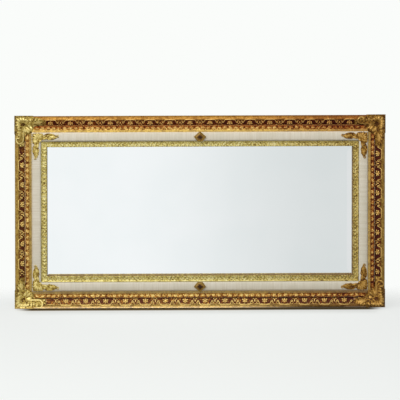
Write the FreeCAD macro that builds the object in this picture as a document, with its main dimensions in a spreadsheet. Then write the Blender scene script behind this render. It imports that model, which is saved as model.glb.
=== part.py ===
import FreeCAD, Part
import math
import os
import re

import Sketcher

# A gilt wall mirror: four mitred rails carry pressed ornament and a cream frieze, and the frieze
# holds a bevelled plate in a carved sight edge. X runs along the frame, the front faces -Y, and Z
# rises from the middle of the lower edge.

SIZES = {
    # The whole frame
    "overall_width": 1278,
    "overall_height": 672,
    # Rail moulding, from its outer edge inwards
    "outer_side_height": 36,
    "outer_side_undercut": 7,
    "outer_bead_width": 12.5,
    "flower_band_width": 22,
    "flower_bed_drop": 8,
    "flower_bed_fall": 14.5,
    "thin_fillet_width": 4,
    "thin_fillet_rise": 2.5,
    "leaf_band_width": 11.5,
    "leaf_bed_drop": 2,
    "leaf_bed_rise": 5,
    "inner_fillet_width": 8,
    "inner_fillet_rise": 0.5,
    "inner_fillet_fall": 1,
    "rail_lip_thickness": 8,
    # Pressed runs laid in the two beds of the rail
    "flower_run_edge": 4.5,
    "flower_run_crown": 3,
    "leaf_run_edge": 3,
    "leaf_run_crown": 2,
    # Cream frieze boards
    "panel_edge_clearance": 1,
    "panel_show_width": 32,
    "field_rise": 10,
    "field_clearance": 0.2,
    "field_edge_width": 4,
    "field_edge_drop": 2.5,
    # Sight edge around the plate
    "sight_width": 23,
    "sight_quirk_rise": 4,
    "sight_hollow_rise": 3,
    "sight_hollow_inset": 5,
    "sight_peak_rise": 7,
    "sight_peak_inset": 19,
    "sight_crown": 1,
    "sight_lip_drop": 12,
    "sight_nose_thickness": 11,
    # Outer corner ornaments
    "corner_reach": 108,
    "corner_wrap": 1.5,
    "corner_skirt": 14,
    "corner_rise": 4.5,
    "corner_shoulder_crown": 2.5,
    # Inner corner sprays and centre ornaments on the frieze
    "spray_reach": 90,
    "spray_thickness": 4.5,
    "centre_length": 42,
    "centre_overlap": 3,
    "centre_gap": 0.5,
    "centre_foot": 1.5,
    "centre_cap_thickness": 3,
    "centre_crown_rise": 3.5,
    # Bevelled plate and its backing
    "glass_thickness": 5,
    "glass_cover": 6.5,
    "glass_edge_gap": 2,
    "glass_seat_clearance": 0.1,
    "bevel_width": 24,
    "bevel_depth": 2.5,
    "block_length": 40,
    "block_spacing": 420,
    "backing_thickness": 3.2,
    "backing_edge_clearance": 0.5,
    "point_width": 9,
    "point_length": 16,
    "point_bite": 8,
    "point_thickness": 0.6,
    "point_spacing": 150,
    # Flat plates and their countersunk screws
    "plate_thickness": 1.6,
    "corner_plate_arm": 68,
    "corner_plate_width": 16,
    "liner_plate_length": 44,
    "liner_plate_width": 14,
    "liner_plate_spacing": 420,
    "liner_plate_hole_spacing": 28,
    "plate_screw_head": 6.8,
    "plate_screw_shank": 3.4,
    "plate_screw_length": 15,
    "plate_screw_tip": 3,
    "screw_slot_width": 0.9,
    "screw_slot_depth": 0.8,
    # Strap hangers on the side rails
    "hanger_drop": 130,
    "strap_width": 16,
    "strap_length": 56,
    "strap_sheet": 1.2,
    "strap_hole_margin": 9,
    "strap_hole_spacing": 31,
    "ring_wire": 4,
    "ring_width": 30,
    "ring_reach": 32,
    "ring_bend": 5,
    "ring_running_clearance": 0.08,
    "ring_rest_clearance": 0.3,
    "hanger_screw_head": 8,
    "hanger_screw_head_height": 2.4,
    "hanger_screw_shank": 4,
    "hanger_screw_length": 24,
    "hanger_screw_tip": 4,
    # Rubber bumpers that keep the lower edge off the wall
    "bumper_base": 18,
    "bumper_top": 15,
    "bumper_height": 7.2,
    "bumper_inset": 130,
}

# Places that follow from the sizes: "at" places run inwards from the outer edge, and heights rise
# from the back plane towards the viewer.
WORKED = {
    "crest_height": "outer_side_height + outer_bead_width",
    "back_place": "crest_height / 2",
    "flower_end_at": "outer_bead_width + flower_band_width",
    "thin_end_at": "flower_end_at + thin_fillet_width",
    "leaf_end_at": "thin_end_at + leaf_band_width",
    "rail_width": "leaf_end_at + inner_fillet_width",
    "flower_bed_outer": "crest_height - flower_bed_drop",
    "flower_bed_inner": "flower_bed_outer - flower_bed_fall",
    "thin_fillet_top": "flower_bed_inner + thin_fillet_rise",
    "leaf_bed_outer": "thin_fillet_top - leaf_bed_drop",
    "leaf_bed_inner": "leaf_bed_outer + leaf_bed_rise",
    "inner_fillet_top": "leaf_bed_inner + inner_fillet_rise",
    "inner_fillet_low": "inner_fillet_top - inner_fillet_fall",
    "panel_front": "inner_fillet_top - rail_lip_thickness",
    "flower_run_chord": "sqrt(flower_band_width ^ 2 + flower_bed_fall ^ 2)",
    "flower_run_radius": "(flower_run_chord ^ 2 / 4 + flower_run_crown ^ 2) / (2 * flower_run_crown)",
    "leaf_run_chord": "sqrt(leaf_band_width ^ 2 + leaf_bed_rise ^ 2)",
    "leaf_run_radius": "(leaf_run_chord ^ 2 / 4 + leaf_run_crown ^ 2) / (2 * leaf_run_crown)",
    "panel_edge_at": "leaf_end_at + panel_edge_clearance",
    "panel_show_end_at": "rail_width + panel_show_width",
    "field_front": "panel_front + field_rise",
    "field_edge_height": "field_front - field_edge_drop",
    "field_start_at": "rail_width + field_clearance",
    "field_end_at": "panel_show_end_at - field_clearance",
    "frame_width": "panel_show_end_at + sight_width",
    "glass_edge_at": "frame_width - glass_cover",
    "panel_inner_at": "glass_edge_at - glass_edge_gap",
    "sight_lip_height": "panel_front - sight_lip_drop",
    "sight_hollow_at": "panel_show_end_at + sight_hollow_inset",
    "sight_hollow_height": "panel_front + sight_hollow_rise",
    "sight_peak_at": "panel_show_end_at + sight_peak_inset",
    "sight_peak_height": "panel_front + sight_peak_rise",
    "sight_nose_height": "sight_lip_height + sight_nose_thickness",
    "sight_run": "sight_peak_at - sight_hollow_at",
    "sight_climb": "sight_peak_height - sight_hollow_height",
    "sight_chord": "sqrt(sight_run ^ 2 + sight_climb ^ 2)",
    "sight_radius": "(sight_chord ^ 2 / 4 + sight_crown ^ 2) / (2 * sight_crown)",
    "skirt_at": "outer_side_undercut * corner_skirt / outer_side_height",
    "shoulder_run": "outer_bead_width + corner_wrap",
    "shoulder_rise": "outer_bead_width + corner_rise",
    "shoulder_chord": "sqrt(shoulder_run ^ 2 + shoulder_rise ^ 2)",
    "shoulder_radius": "(shoulder_chord ^ 2 / 4 + corner_shoulder_crown ^ 2) / (2 * corner_shoulder_crown)",
    "glass_length": "overall_width - 2 * glass_edge_at",
    "glass_height": "overall_height - 2 * glass_edge_at",
    "bevel_under_lip": "bevel_depth * (bevel_width - glass_cover) / bevel_width",
    "glass_front": "sight_lip_height + bevel_under_lip - glass_seat_clearance",
    "glass_back": "glass_front - glass_thickness",
    "glass_edge_thickness": "glass_thickness - bevel_depth",
    "backing_edge_at": "panel_inner_at + backing_edge_clearance",
    "backing_back": "glass_back - backing_thickness",
    "liner_joint_at": "(leaf_end_at + panel_edge_at) / 2",
    "rail_back_middle_at": "(outer_side_undercut + leaf_end_at) / 2",
    "corner_plate_edge_at": "rail_back_middle_at - corner_plate_width / 2",
    "knuckle_radius": "ring_wire / 2 + ring_running_clearance + strap_sheet",
    "strap_thickness": "2 * strap_sheet",
    "hanger_across": "overall_width / 2 - rail_back_middle_at",
    "hanger_up": "overall_height - hanger_drop",
    "ring_lean": "asin((knuckle_radius - ring_wire / 2 - ring_rest_clearance) / ring_reach)",
}

# Outlines of the cast ornaments as shares of their reach and of the band that they lie on. The
# second half of each outline is the first one mirrored in the corner's diagonal.
CORNER_EDGE_SHARE = 0.58
CORNER_NECK_SHARE = 0.62
CORNER_LEAF_TOP_SHARE = 0.08
CORNER_LEAF_TIP_SHARE = 0.36
CORNER_LEAF_FOOT_SHARE = 0.66
CORNER_LEAF_ROUND_SHARES = (0.3, 0.3)
SPRAY_FAN_SHARES = (0.40, 0.08)
SPRAY_NOTCH_SHARES = (0.46, 0.30)
SPRAY_LEAF_SHARES = (0.56, 0.12)
SPRAY_TIP_SHARES = (1.0, 0.50)
SPRAY_FOOT_SHARES = (0.56, 0.72)
SPRAY_THROAT_SHARES = (0.46, 0.56)
SPRAY_HEEL_SHARES = (0.38, 0.86)
SPRAY_START_SHARE = 0.10
SPRAY_END_SHARE = 0.92
SPRAY_ROUND_SHARES = (0.35, 0.3)
CENTRE_OUTER_END_SHARE = 0.15
CENTRE_INNER_END_SHARE = 0.22
CENTRE_TOP_SHARE = 0.45
CORNER_PLATE_HOLE_SHARES = (0.50, 0.88)

# Each side is drawn lying along X with its outer edge up, then turned about Y: its length, the
# middle of its outer edge, and its angle in degrees.
SIDES = {
    "top": ("overall_width", "0", "overall_height"),
    "right": ("overall_height", "overall_width / 2", "overall_height / 2"),
    "bottom": ("overall_width", "0", "0"),
    "left": ("overall_height", "-overall_width / 2", "overall_height / 2"),
}
SIDE_ANGLES = {"top": 0, "right": 90, "bottom": 180, "left": 270}

# Each corner ornament is drawn for the upper left corner, then turned about Y: its corner and its
# angle in degrees.
CORNERS = {
    "top_left": ("-overall_width / 2", "overall_height"),
    "top_right": ("overall_width / 2", "overall_height"),
    "bottom_right": ("overall_width / 2", "0"),
    "bottom_left": ("-overall_width / 2", "0"),
}
CORNER_ANGLES = {"top_left": 0, "top_right": 90, "bottom_right": 180, "bottom_left": 270}

DEPTH_AXIS = FreeCAD.Vector(0, 1, 0)
LENGTH_AXIS = FreeCAD.Vector(1, 0, 0)

doc = FreeCAD.newDocument("wall_mirror")
size_sheet = doc.addObject("Spreadsheet::Sheet", "Sizes")
worked_sheet = doc.addObject("Spreadsheet::Sheet", "Worked")
sub_parts = []


def cells(text):
    """Put the sheet's name before each size that an expression names."""
    def named(found):
        word = found.group()
        if word in SIZES:
            return "Sizes." + word
        if word in WORKED:
            return "Worked." + word
        return word
    return re.sub(r"[a-z][a-z_]*", named, text)


def fill_sheets():
    for row, (alias, number) in enumerate(SIZES.items(), start=1):
        size_sheet.set(f"A{row}", alias)
        size_sheet.set(f"B{row}", str(number))
        size_sheet.setAlias(f"B{row}", alias)
    doc.recompute()
    for row, (alias, formula) in enumerate(WORKED.items(), start=1):
        worked_sheet.set(f"A{row}", alias)
        worked_sheet.set(f"B{row}", "=" + cells(formula))
        worked_sheet.setAlias(f"B{row}", alias)
        doc.recompute()


def value(text):
    """Work out an expression of named sizes."""
    result = size_sheet.evalExpression(cells(text))
    return float(getattr(result, "Value", result))


def finish(thing, label):
    """Name a finished sub-part and keep it for export."""
    thing.Label = label
    sub_parts.append(thing)
    return thing


def place(thing, across, depth, up, turn=0):
    """Turn a piece about the depth axis and tie its place to the sizes."""
    thing.Placement = FreeCAD.Placement(FreeCAD.Vector(), FreeCAD.Rotation(DEPTH_AXIS, turn))
    for axis, text in zip("xyz", (across, depth, up)):
        thing.setExpression(f"Placement.Base.{axis}", cells(text))
    return thing


def new_sketch(body, name, role):
    sketch = body.newObject("Sketcher::SketchObject", name)
    plane = [feature for feature in body.Origin.OriginFeatures if feature.Role == role][0]
    sketch.AttachmentSupport = [(plane, "")]
    sketch.MapMode = "FlatFace"
    return sketch


def pin_point(sketch, element, end, kind, axis, text):
    """Hold one end of a line at the place that an expression gives, along X or Y."""
    if text == "0":
        sketch.addConstraint(Sketcher.Constraint("PointOnObject", element, end, axis))
        return
    number = sketch.addConstraint(Sketcher.Constraint(kind, -1, 1, element, end, value(text)))
    sketch.setExpression(f"Constraints[{number}]", cells(text))


def draw_outline(sketch, corners):
    """Close a loop through corners given as expressions; a third entry is an arc's radius.

    The arc leads from its corner to the next one and bulges to the right of that way, or to the
    left where the radius is written with a minus sign.
    """
    spots = [FreeCAD.Vector(value(corner[0]), value(corner[1]), 0) for corner in corners]
    elements = []
    for order, corner in enumerate(corners):
        start = spots[order]
        end = spots[(order + 1) % len(spots)]
        if len(corner) == 2:
            number = sketch.addGeometry(Part.LineSegment(start, end), False)
            elements.append((number, 1, 2))
            continue
        radius = value(corner[2])
        way = end - start
        left = FreeCAD.Vector(-way.y, way.x, 0).normalize()
        reach = (radius ** 2 - way.Length ** 2 / 4) ** 0.5
        side = 1 if radius > 0 else -1
        middle = (start + end) / 2 + left * reach * side
        first, last = (start, end) if side > 0 else (end, start)
        opening = math.atan2(first.y - middle.y, first.x - middle.x)
        sweep = (math.atan2(last.y - middle.y, last.x - middle.x) - opening) % math.tau
        circle = Part.Circle(middle, FreeCAD.Vector(0, 0, 1), abs(radius))
        number = sketch.addGeometry(Part.ArcOfCircle(circle, opening, opening + sweep), False)
        elements.append((number, 1, 2) if side > 0 else (number, 2, 1))
        fix = sketch.addConstraint(Sketcher.Constraint("Radius", number, abs(radius)))
        sketch.setExpression(f"Constraints[{fix}]", cells(corner[2].lstrip("-")))
    for order, (number, first, last) in enumerate(elements):
        following = elements[(order + 1) % len(elements)]
        sketch.addConstraint(Sketcher.Constraint("Coincident", number, last, following[0], following[1]))
        pin_point(sketch, number, first, "DistanceX", -2, corners[order][0])
        pin_point(sketch, number, first, "DistanceY", -1, corners[order][1])


def section(points):
    """Turn places (inwards from the outer edge, height above the back) into sketch corners."""
    corners = []
    for inward, height, *arc in points:
        across = "0" if height == "0" else f"-({height})"
        up = "0" if inward == "0" else f"-({inward})"
        corners.append((across, up, *arc))
    return corners


def straight_length(name, side, points, length):
    """Pad a moulding's section along one side of the frame."""
    _, across, up = SIDES[side]
    body = doc.addObject("PartDesign::Body", name)
    profile = new_sketch(body, name + "_section", "YZ_Plane")
    draw_outline(profile, section(points))
    pad = body.newObject("PartDesign::Pad", name + "_pad")
    pad.Profile = profile
    pad.SideType = "Symmetric"
    pad.setExpression("Length", cells(length))
    doc.recompute()
    return place(body, across, "back_place", up, SIDE_ANGLES[side])


def mitred_length(name, side, points):
    """Pad a moulding's section along a whole side and cut both ends to the corner's diagonal."""
    length = SIDES[side][0]
    body = straight_length(name, side, points, length)
    whole = body.Shape.Volume
    for end, sign in (("near", "-"), ("far", "")):
        cutter = new_sketch(body, f"{name}_{end}_mitre", "XZ_Plane")
        draw_outline(cutter, [
            (f"{sign}({length} / 2 + frame_width)", "frame_width"),
            (f"{sign}({length} / 2 - 2 * frame_width)", "-2 * frame_width"),
            (f"{sign}({length} / 2 + frame_width)", "-2 * frame_width"),
        ])
        mitre = body.newObject("PartDesign::Pocket", f"{name}_{end}_cut")
        mitre.Profile = cutter
        mitre.Type = "ThroughAll"
        mitre.SideType = "Symmetric"
    doc.recompute()
    if body.Shape.Volume >= whole:
        raise RuntimeError(f"the mitres of {name} cut nothing")
    return body


def side_spot(side, along, inward, height="0"):
    """Give the placement of a small piece on one side of the frame."""
    _, across, up = SIDES[side]
    rotation = FreeCAD.Rotation(DEPTH_AXIS, SIDE_ANGLES[side])
    middle = FreeCAD.Vector(value(across), value("back_place"), value(up))
    local = FreeCAD.Vector(along, -value(height), -value(inward))
    return FreeCAD.Placement(middle + rotation.multVec(local), rotation)


def corner_spot(corner, across, down):
    """Give the placement of a small piece on the back of one corner of the frame."""
    corner_across, corner_up = CORNERS[corner]
    rotation = FreeCAD.Rotation(DEPTH_AXIS, CORNER_ANGLES[corner])
    middle = FreeCAD.Vector(value(corner_across), value("back_place"), value(corner_up))
    local = FreeCAD.Vector(across, 0, -down)
    return FreeCAD.Placement(middle + rotation.multVec(local), rotation)


def spaced(length, spacing):
    """Spread places evenly along a length, at least a spacing apart, measured from its middle."""
    count = max(1, int(length // value(spacing)))
    return [(number - (count - 1) / 2) * length / count for number in range(count)]


def group(name, master, spots):
    """Set copies of one piece at every spot, as separate solids of one object."""
    doc.recompute()
    copies = []
    for spot in spots:
        copy = master.Shape.copy()
        copy.Placement = spot.multiply(copy.Placement)
        copies.append(copy)
    thing = doc.addObject("Part::Feature", name)
    thing.Shape = Part.makeCompound(copies)
    return thing


def cut(name, base, tool):
    thing = doc.addObject("Part::Cut", name)
    thing.Base = base
    thing.Tool = tool
    return thing


def box(name, length, depth, height, corner):
    """Make a block whose sizes and lowest corner are expressions."""
    thing = doc.addObject("Part::Box", name)
    for size, text in (("Length", length), ("Width", depth), ("Height", height)):
        thing.setExpression(size, cells(text))
    return place(thing, *corner)


def turned_screw(name, outline):
    """Turn a screw about the depth axis from half its outline, given as (radius, place along Y)."""
    body = doc.addObject("PartDesign::Body", name)
    sketch = new_sketch(body, name + "_half", "XY_Plane")
    draw_outline(sketch, outline)
    turning = body.newObject("PartDesign::Revolution", name + "_turning")
    turning.Profile = sketch
    turning.ReferenceAxis = (sketch, ["V_Axis"])
    turning.Angle = 360
    return body


def slotted(name, screw, head, top):
    """Saw the driver's slot across a screw's head, whose top stands at a given place along Y."""
    slot = box(name + "_slot", head, "screw_slot_depth", "screw_slot_width",
               (f"-({head}) / 2", f"{top} - screw_slot_depth", "-screw_slot_width / 2"))
    return cut(name + "_slotted", screw, slot)


def plate_screws():
    blank = turned_screw("plate_screw", [
        ("0", "plate_thickness"),
        ("plate_screw_head / 2", "plate_thickness"),
        ("plate_screw_shank / 2", "plate_thickness - (plate_screw_head - plate_screw_shank) / 2"),
        ("plate_screw_shank / 2", "plate_thickness - plate_screw_length + plate_screw_tip"),
        ("0", "plate_thickness - plate_screw_length"),
    ])
    master = slotted("plate_screw", blank, "plate_screw_head", "plate_thickness")
    spots = []
    middle = value("rail_back_middle_at")
    for corner in CORNERS:
        for share in CORNER_PLATE_HOLE_SHARES:
            along = value("corner_plate_edge_at") + share * value("corner_plate_arm")
            spots.append(corner_spot(corner, along, middle))
            spots.append(corner_spot(corner, middle, along))
    for side in SIDES:
        for along in spaced(value(SIDES[side][0]), "liner_plate_spacing"):
            spots.append(side_spot(side, along, "liner_joint_at - liner_plate_hole_spacing / 2"))
            spots.append(side_spot(side, along, "liner_joint_at + liner_plate_hole_spacing / 2"))
    return group("plate_screw_set", master, spots)


def corner_plates(screws):
    """Flat angle plates that hold the rails' mitres from behind."""
    body = doc.addObject("PartDesign::Body", "corner_plate")
    outline = new_sketch(body, "corner_plate_outline", "XZ_Plane")
    near = "corner_plate_edge_at"
    inner = "corner_plate_edge_at + corner_plate_width"
    far = "corner_plate_edge_at + corner_plate_arm"
    draw_outline(outline, [
        (near, f"-({near})"),
        (far, f"-({near})"),
        (far, f"-({inner})"),
        (inner, f"-({inner})"),
        (inner, f"-({far})"),
        (near, f"-({far})"),
    ])
    pad = body.newObject("PartDesign::Pad", "corner_plate_pad")
    pad.Profile = outline
    pad.Reversed = True
    pad.setExpression("Length", cells("plate_thickness"))
    plates = group("corner_plate_set", body, [corner_spot(corner, 0, 0) for corner in CORNERS])
    return finish(cut("corner_plates_drilled", plates, screws), "corner_plates")


def liner_plates(screws):
    """Straight plates that hold the frieze boards in the rails' rebate."""
    master = box("liner_plate", "liner_plate_width", "plate_thickness", "liner_plate_length",
                 ("-liner_plate_width / 2", "0", "-liner_plate_length / 2"))
    spots = []
    for side in SIDES:
        for along in spaced(value(SIDES[side][0]), "liner_plate_spacing"):
            spots.append(side_spot(side, along, "liner_joint_at"))
    plates = group("liner_plate_set", master, spots)
    return finish(cut("liner_plates_drilled", plates, screws), "liner_plates")


def hanger_spots():
    """Give where the bar of each hanger's ring crosses the back of its rail."""
    spots = {}
    for name, sign in (("left", -1), ("right", 1)):
        spots[name] = FreeCAD.Vector(sign * value("hanger_across"), value("back_place"), value("hanger_up"))
    return spots


def hanger_screws():
    blank = turned_screw("hanger_screw", [
        ("0", "strap_thickness + hanger_screw_head_height"),
        ("hanger_screw_head / 2 - hanger_screw_head_height / 2", "strap_thickness + hanger_screw_head_height",
         "-hanger_screw_head_height"),
        ("hanger_screw_head / 2", "strap_thickness"),
        ("hanger_screw_shank / 2", "strap_thickness"),
        ("hanger_screw_shank / 2", "strap_thickness - hanger_screw_length + hanger_screw_tip"),
        ("0", "strap_thickness - hanger_screw_length"),
    ])
    master = slotted("hanger_screw", blank, "hanger_screw_head",
                     "strap_thickness + hanger_screw_head_height")
    spots = []
    for spot in hanger_spots().values():
        for drop in ("strap_length - strap_hole_margin",
                     "strap_length - strap_hole_margin - strap_hole_spacing"):
            spots.append(FreeCAD.Placement(spot - FreeCAD.Vector(0, 0, value(drop)), FreeCAD.Rotation()))
    return group("hanger_screw_set", master, spots)


def hanger_strap(name, sign, screws):
    """A steel strap folded round the ring's bar and screwed flat to the side rail."""
    plate = box(name + "_plate", "strap_width", "strap_thickness", "strap_length",
                (f"{sign}hanger_across - strap_width / 2", "back_place", "hanger_up - strap_length"))
    tubes = []
    for part, radius in (("knuckle", "knuckle_radius"), ("bore", "ring_wire / 2 + ring_running_clearance")):
        tube = doc.addObject("Part::Cylinder", f"{name}_{part}")
        tube.setExpression("Radius", cells(radius))
        tube.setExpression("Height", cells("strap_width"))
        place(tube, f"{sign}hanger_across - strap_width / 2", "back_place + knuckle_radius", "hanger_up", 90)
        tubes.append(tube)
    folded = doc.addObject("Part::Fuse", name + "_folded")
    folded.Base = plate
    folded.Tool = tubes[0]
    bored = cut(name + "_bored", folded, tubes[1])
    return finish(cut(name + "_drilled", bored, screws), f"{name}_hanger_strap")


def hanger_ring(name, sign):
    """A ring of bent wire: a straight bar, two small bends, two legs and a half-round crown."""
    pieces = []

    def tube(part, height, across, up, turn):
        thing = doc.addObject("Part::Cylinder", f"{name}_ring_{part}")
        thing.setExpression("Radius", cells("ring_wire / 2"))
        thing.setExpression("Height", cells(height))
        pieces.append(place(thing, across, "0", up, turn))

    def bend(part, radius, sweep, across, up, start):
        thing = doc.addObject("Part::Torus", f"{name}_ring_{part}")
        thing.setExpression("Radius1", cells(radius))
        thing.setExpression("Radius2", cells("ring_wire / 2"))
        thing.Angle3 = sweep
        place(thing, across, "0", up)
        upright = FreeCAD.Rotation(LENGTH_AXIS, 90)
        spun = FreeCAD.Rotation(DEPTH_AXIS, -start)
        thing.Placement = FreeCAD.Placement(thing.Placement.Base, spun.multiply(upright))
        for axis, text in zip("xyz", (across, "0", up)):
            thing.setExpression(f"Placement.Base.{axis}", cells(text))
        pieces.append(thing)

    half = "ring_width / 2"
    shoulder = f"ring_reach - {half}"
    tube("bar", "ring_width - 2 * ring_bend", f"ring_bend - {half}", "0", 90)
    for part, side, start in (("left", "-", 180), ("right", "", 270)):
        tube(f"{part}_leg", f"{shoulder} - ring_bend", f"{side}ring_width / 2", "ring_bend", 0)
        bend(f"{part}_bend", "ring_bend", 90, f"{side}(ring_width / 2 - ring_bend)", "ring_bend", start)
    bend("crown", half, 180, "0", shoulder, 0)
    ring = doc.addObject("Part::MultiFuse", name + "_ring_wire")
    ring.Shapes = pieces
    spot = hanger_spots()[name] + FreeCAD.Vector(0, value("knuckle_radius"), 0)
    ring.Placement = FreeCAD.Placement(spot, FreeCAD.Rotation(LENGTH_AXIS, value("ring_lean")))
    places = (f"{sign}hanger_across", "back_place + knuckle_radius", "hanger_up")
    for axis, text in zip("xyz", places):
        ring.setExpression(f"Placement.Base.{axis}", cells(text))
    ring.setExpression("Placement.Rotation.Angle", cells("ring_lean"))
    return finish(ring, f"{name}_hanger_ring")


def wall_bumpers():
    stud = doc.addObject("Part::Cone", "wall_bumper")
    stud.setExpression("Radius1", cells("bumper_base / 2"))
    stud.setExpression("Radius2", cells("bumper_top / 2"))
    stud.setExpression("Height", cells("bumper_height"))
    stud.Placement = FreeCAD.Placement(FreeCAD.Vector(), FreeCAD.Rotation(LENGTH_AXIS, -90))
    reach = value("overall_width / 2 - bumper_inset")
    spots = [side_spot("bottom", sign * reach, "rail_back_middle_at") for sign in (-1, 1)]
    return finish(group("wall_bumper_pair", stud, spots), "wall_bumpers")


def glazing_points():
    """Flat steel points driven into the rebate wall behind the backing board."""
    master = box("glazing_point", "point_width", "point_thickness", "point_length",
                 ("-point_width / 2", "0", "point_bite - point_length"))
    spots = []
    for side in SIDES:
        opening = value(SIDES[side][0]) - 2 * value("panel_inner_at")
        for along in spaced(opening, "point_spacing"):
            spots.append(side_spot(side, along, "panel_inner_at", "backing_back"))
    return finish(group("glazing_point_set", master, spots), "glazing_points")


def setting_blocks():
    """Small cork blocks that centre the plate in its rebate."""
    master = box("setting_block", "block_length", "glass_edge_thickness", "glass_edge_gap",
                 ("-block_length / 2", "-glass_edge_thickness", "-glass_edge_gap"))
    spots = []
    for side in SIDES:
        for along in spaced(value(SIDES[side][0]) - 2 * value("glass_edge_at"), "block_spacing"):
            spots.append(side_spot(side, along, "panel_inner_at", "glass_back"))
    return finish(group("setting_block_set", master, spots), "setting_blocks")


def mirror_glass():
    """The silvered plate: a thin square edge and a wide flat bevel up to its face."""
    low = "glass_edge_at"
    slab = box("glass_slab", "glass_length", "glass_edge_thickness", "glass_height",
               ("-glass_length / 2", "back_place - glass_back - glass_edge_thickness", low))
    bevel = doc.addObject("Part::Wedge", "glass_bevel")
    faces = {
        "Xmin": "bevel_width - glass_length / 2",
        "Xmax": "glass_length / 2 - bevel_width",
        "X2min": "-glass_length / 2",
        "X2max": "glass_length / 2",
        "Zmin": f"{low} + bevel_width",
        "Zmax": f"{low} + glass_height - bevel_width",
        "Z2min": low,
        "Z2max": f"{low} + glass_height",
        "Ymin": "back_place - glass_front",
        "Ymax": "back_place - glass_front + bevel_depth",
    }
    for name, text in faces.items():
        bevel.setExpression(name, cells(text))
    plate = doc.addObject("Part::Fuse", "glass_plate")
    plate.Base = slab
    plate.Tool = bevel
    return finish(plate, "mirror_glass")


def backing_board():
    board = box("backing_sheet", "overall_width - 2 * backing_edge_at", "backing_thickness",
                "overall_height - 2 * backing_edge_at",
                ("backing_edge_at - overall_width / 2", "back_place - glass_back", "backing_edge_at"))
    return finish(board, "backing_board")


def rail(side, fasteners):
    """One mitred length of the outer moulding, with its two beds and the rebate for the frieze."""
    moulding = mitred_length(f"{side}_moulding", side, [
        ("outer_side_undercut", "0"),
        ("0", "outer_side_height", "outer_bead_width"),
        ("outer_bead_width", "crest_height"),
        ("outer_bead_width", "flower_bed_outer"),
        ("flower_end_at", "flower_bed_inner"),
        ("flower_end_at", "thin_fillet_top"),
        ("thin_end_at", "thin_fillet_top"),
        ("thin_end_at", "leaf_bed_outer"),
        ("leaf_end_at", "leaf_bed_inner"),
        ("leaf_end_at", "inner_fillet_top"),
        ("rail_width", "inner_fillet_low"),
        ("rail_width", "panel_front"),
        ("leaf_end_at", "panel_front"),
        ("leaf_end_at", "0"),
    ])
    return finish(cut(f"{side}_moulding_drilled", moulding, fasteners), f"{side}_rail")


def flower_run(side):
    """The wide pressed run, between the leaves of the two corner ornaments."""
    body = straight_length(f"{side}_flower_strip", side, [
        ("outer_bead_width", "flower_bed_outer"),
        ("outer_bead_width", "flower_bed_outer + flower_run_edge", "flower_run_radius"),
        ("flower_end_at", "flower_bed_inner + flower_run_edge"),
        ("flower_end_at", "flower_bed_inner"),
    ], f"{SIDES[side][0]} - 2 * corner_reach")
    return finish(body, f"{side}_flower_run")


def leaf_run(side):
    """The narrow pressed run beside the frieze, between the blocks of the corner ornaments."""
    body = straight_length(f"{side}_leaf_strip", side, [
        ("thin_end_at", "leaf_bed_outer"),
        ("thin_end_at", "leaf_bed_outer + leaf_run_edge", "leaf_run_radius"),
        ("leaf_end_at", "leaf_bed_inner + leaf_run_edge"),
        ("leaf_end_at", "leaf_bed_inner"),
    ], f"{SIDES[side][0]} - 2 * {CORNER_NECK_SHARE} * corner_reach")
    return finish(body, f"{side}_leaf_run")


def panel(side, fasteners):
    """One mitred frieze board, with one edge under the rail's lip and a raised field that shows."""
    board = mitred_length(f"{side}_board", side, [
        ("panel_edge_at", "0"),
        ("panel_edge_at", "panel_front"),
        ("field_start_at", "panel_front"),
        ("field_start_at", "field_edge_height"),
        ("field_start_at + field_edge_width", "field_front"),
        ("field_end_at - field_edge_width", "field_front"),
        ("field_end_at", "field_edge_height"),
        ("field_end_at", "panel_front"),
        ("panel_inner_at", "panel_front"),
        ("panel_inner_at", "0"),
    ])
    return finish(cut(f"{side}_board_drilled", board, fasteners), f"{side}_panel")


def sight_edge(side):
    """One mitred length of the sight edge, which hooks over the frieze board and covers the glass."""
    body = mitred_length(f"{side}_sight_moulding", side, [
        ("panel_show_end_at", "panel_front"),
        ("panel_show_end_at", "panel_front + sight_quirk_rise"),
        ("sight_hollow_at", "sight_hollow_height", "sight_radius"),
        ("sight_peak_at", "sight_peak_height"),
        ("frame_width", "sight_nose_height"),
        ("frame_width", "sight_lip_height"),
        ("panel_inner_at", "sight_lip_height"),
        ("panel_inner_at", "panel_front"),
    ])
    return finish(body, f"{side}_sight_edge")


def diagonal_outline(half):
    """Mirror half an outline, given as (across, down, arc), in the diagonal of its corner."""
    corners = [(across, f"-({down})", *arc) for across, down, *arc in half]
    back = []
    for order in range(len(half) - 1, 0, -1):
        across, down = half[order][:2]
        arc = half[order - 1][2:]
        back.append((down, f"-({across})", *arc))
    if half[-1][0] == half[-1][1]:
        corners[-1] = (*corners[-1][:2], *back[0][2:])
        back = back[1:]
    return corners + back


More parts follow.
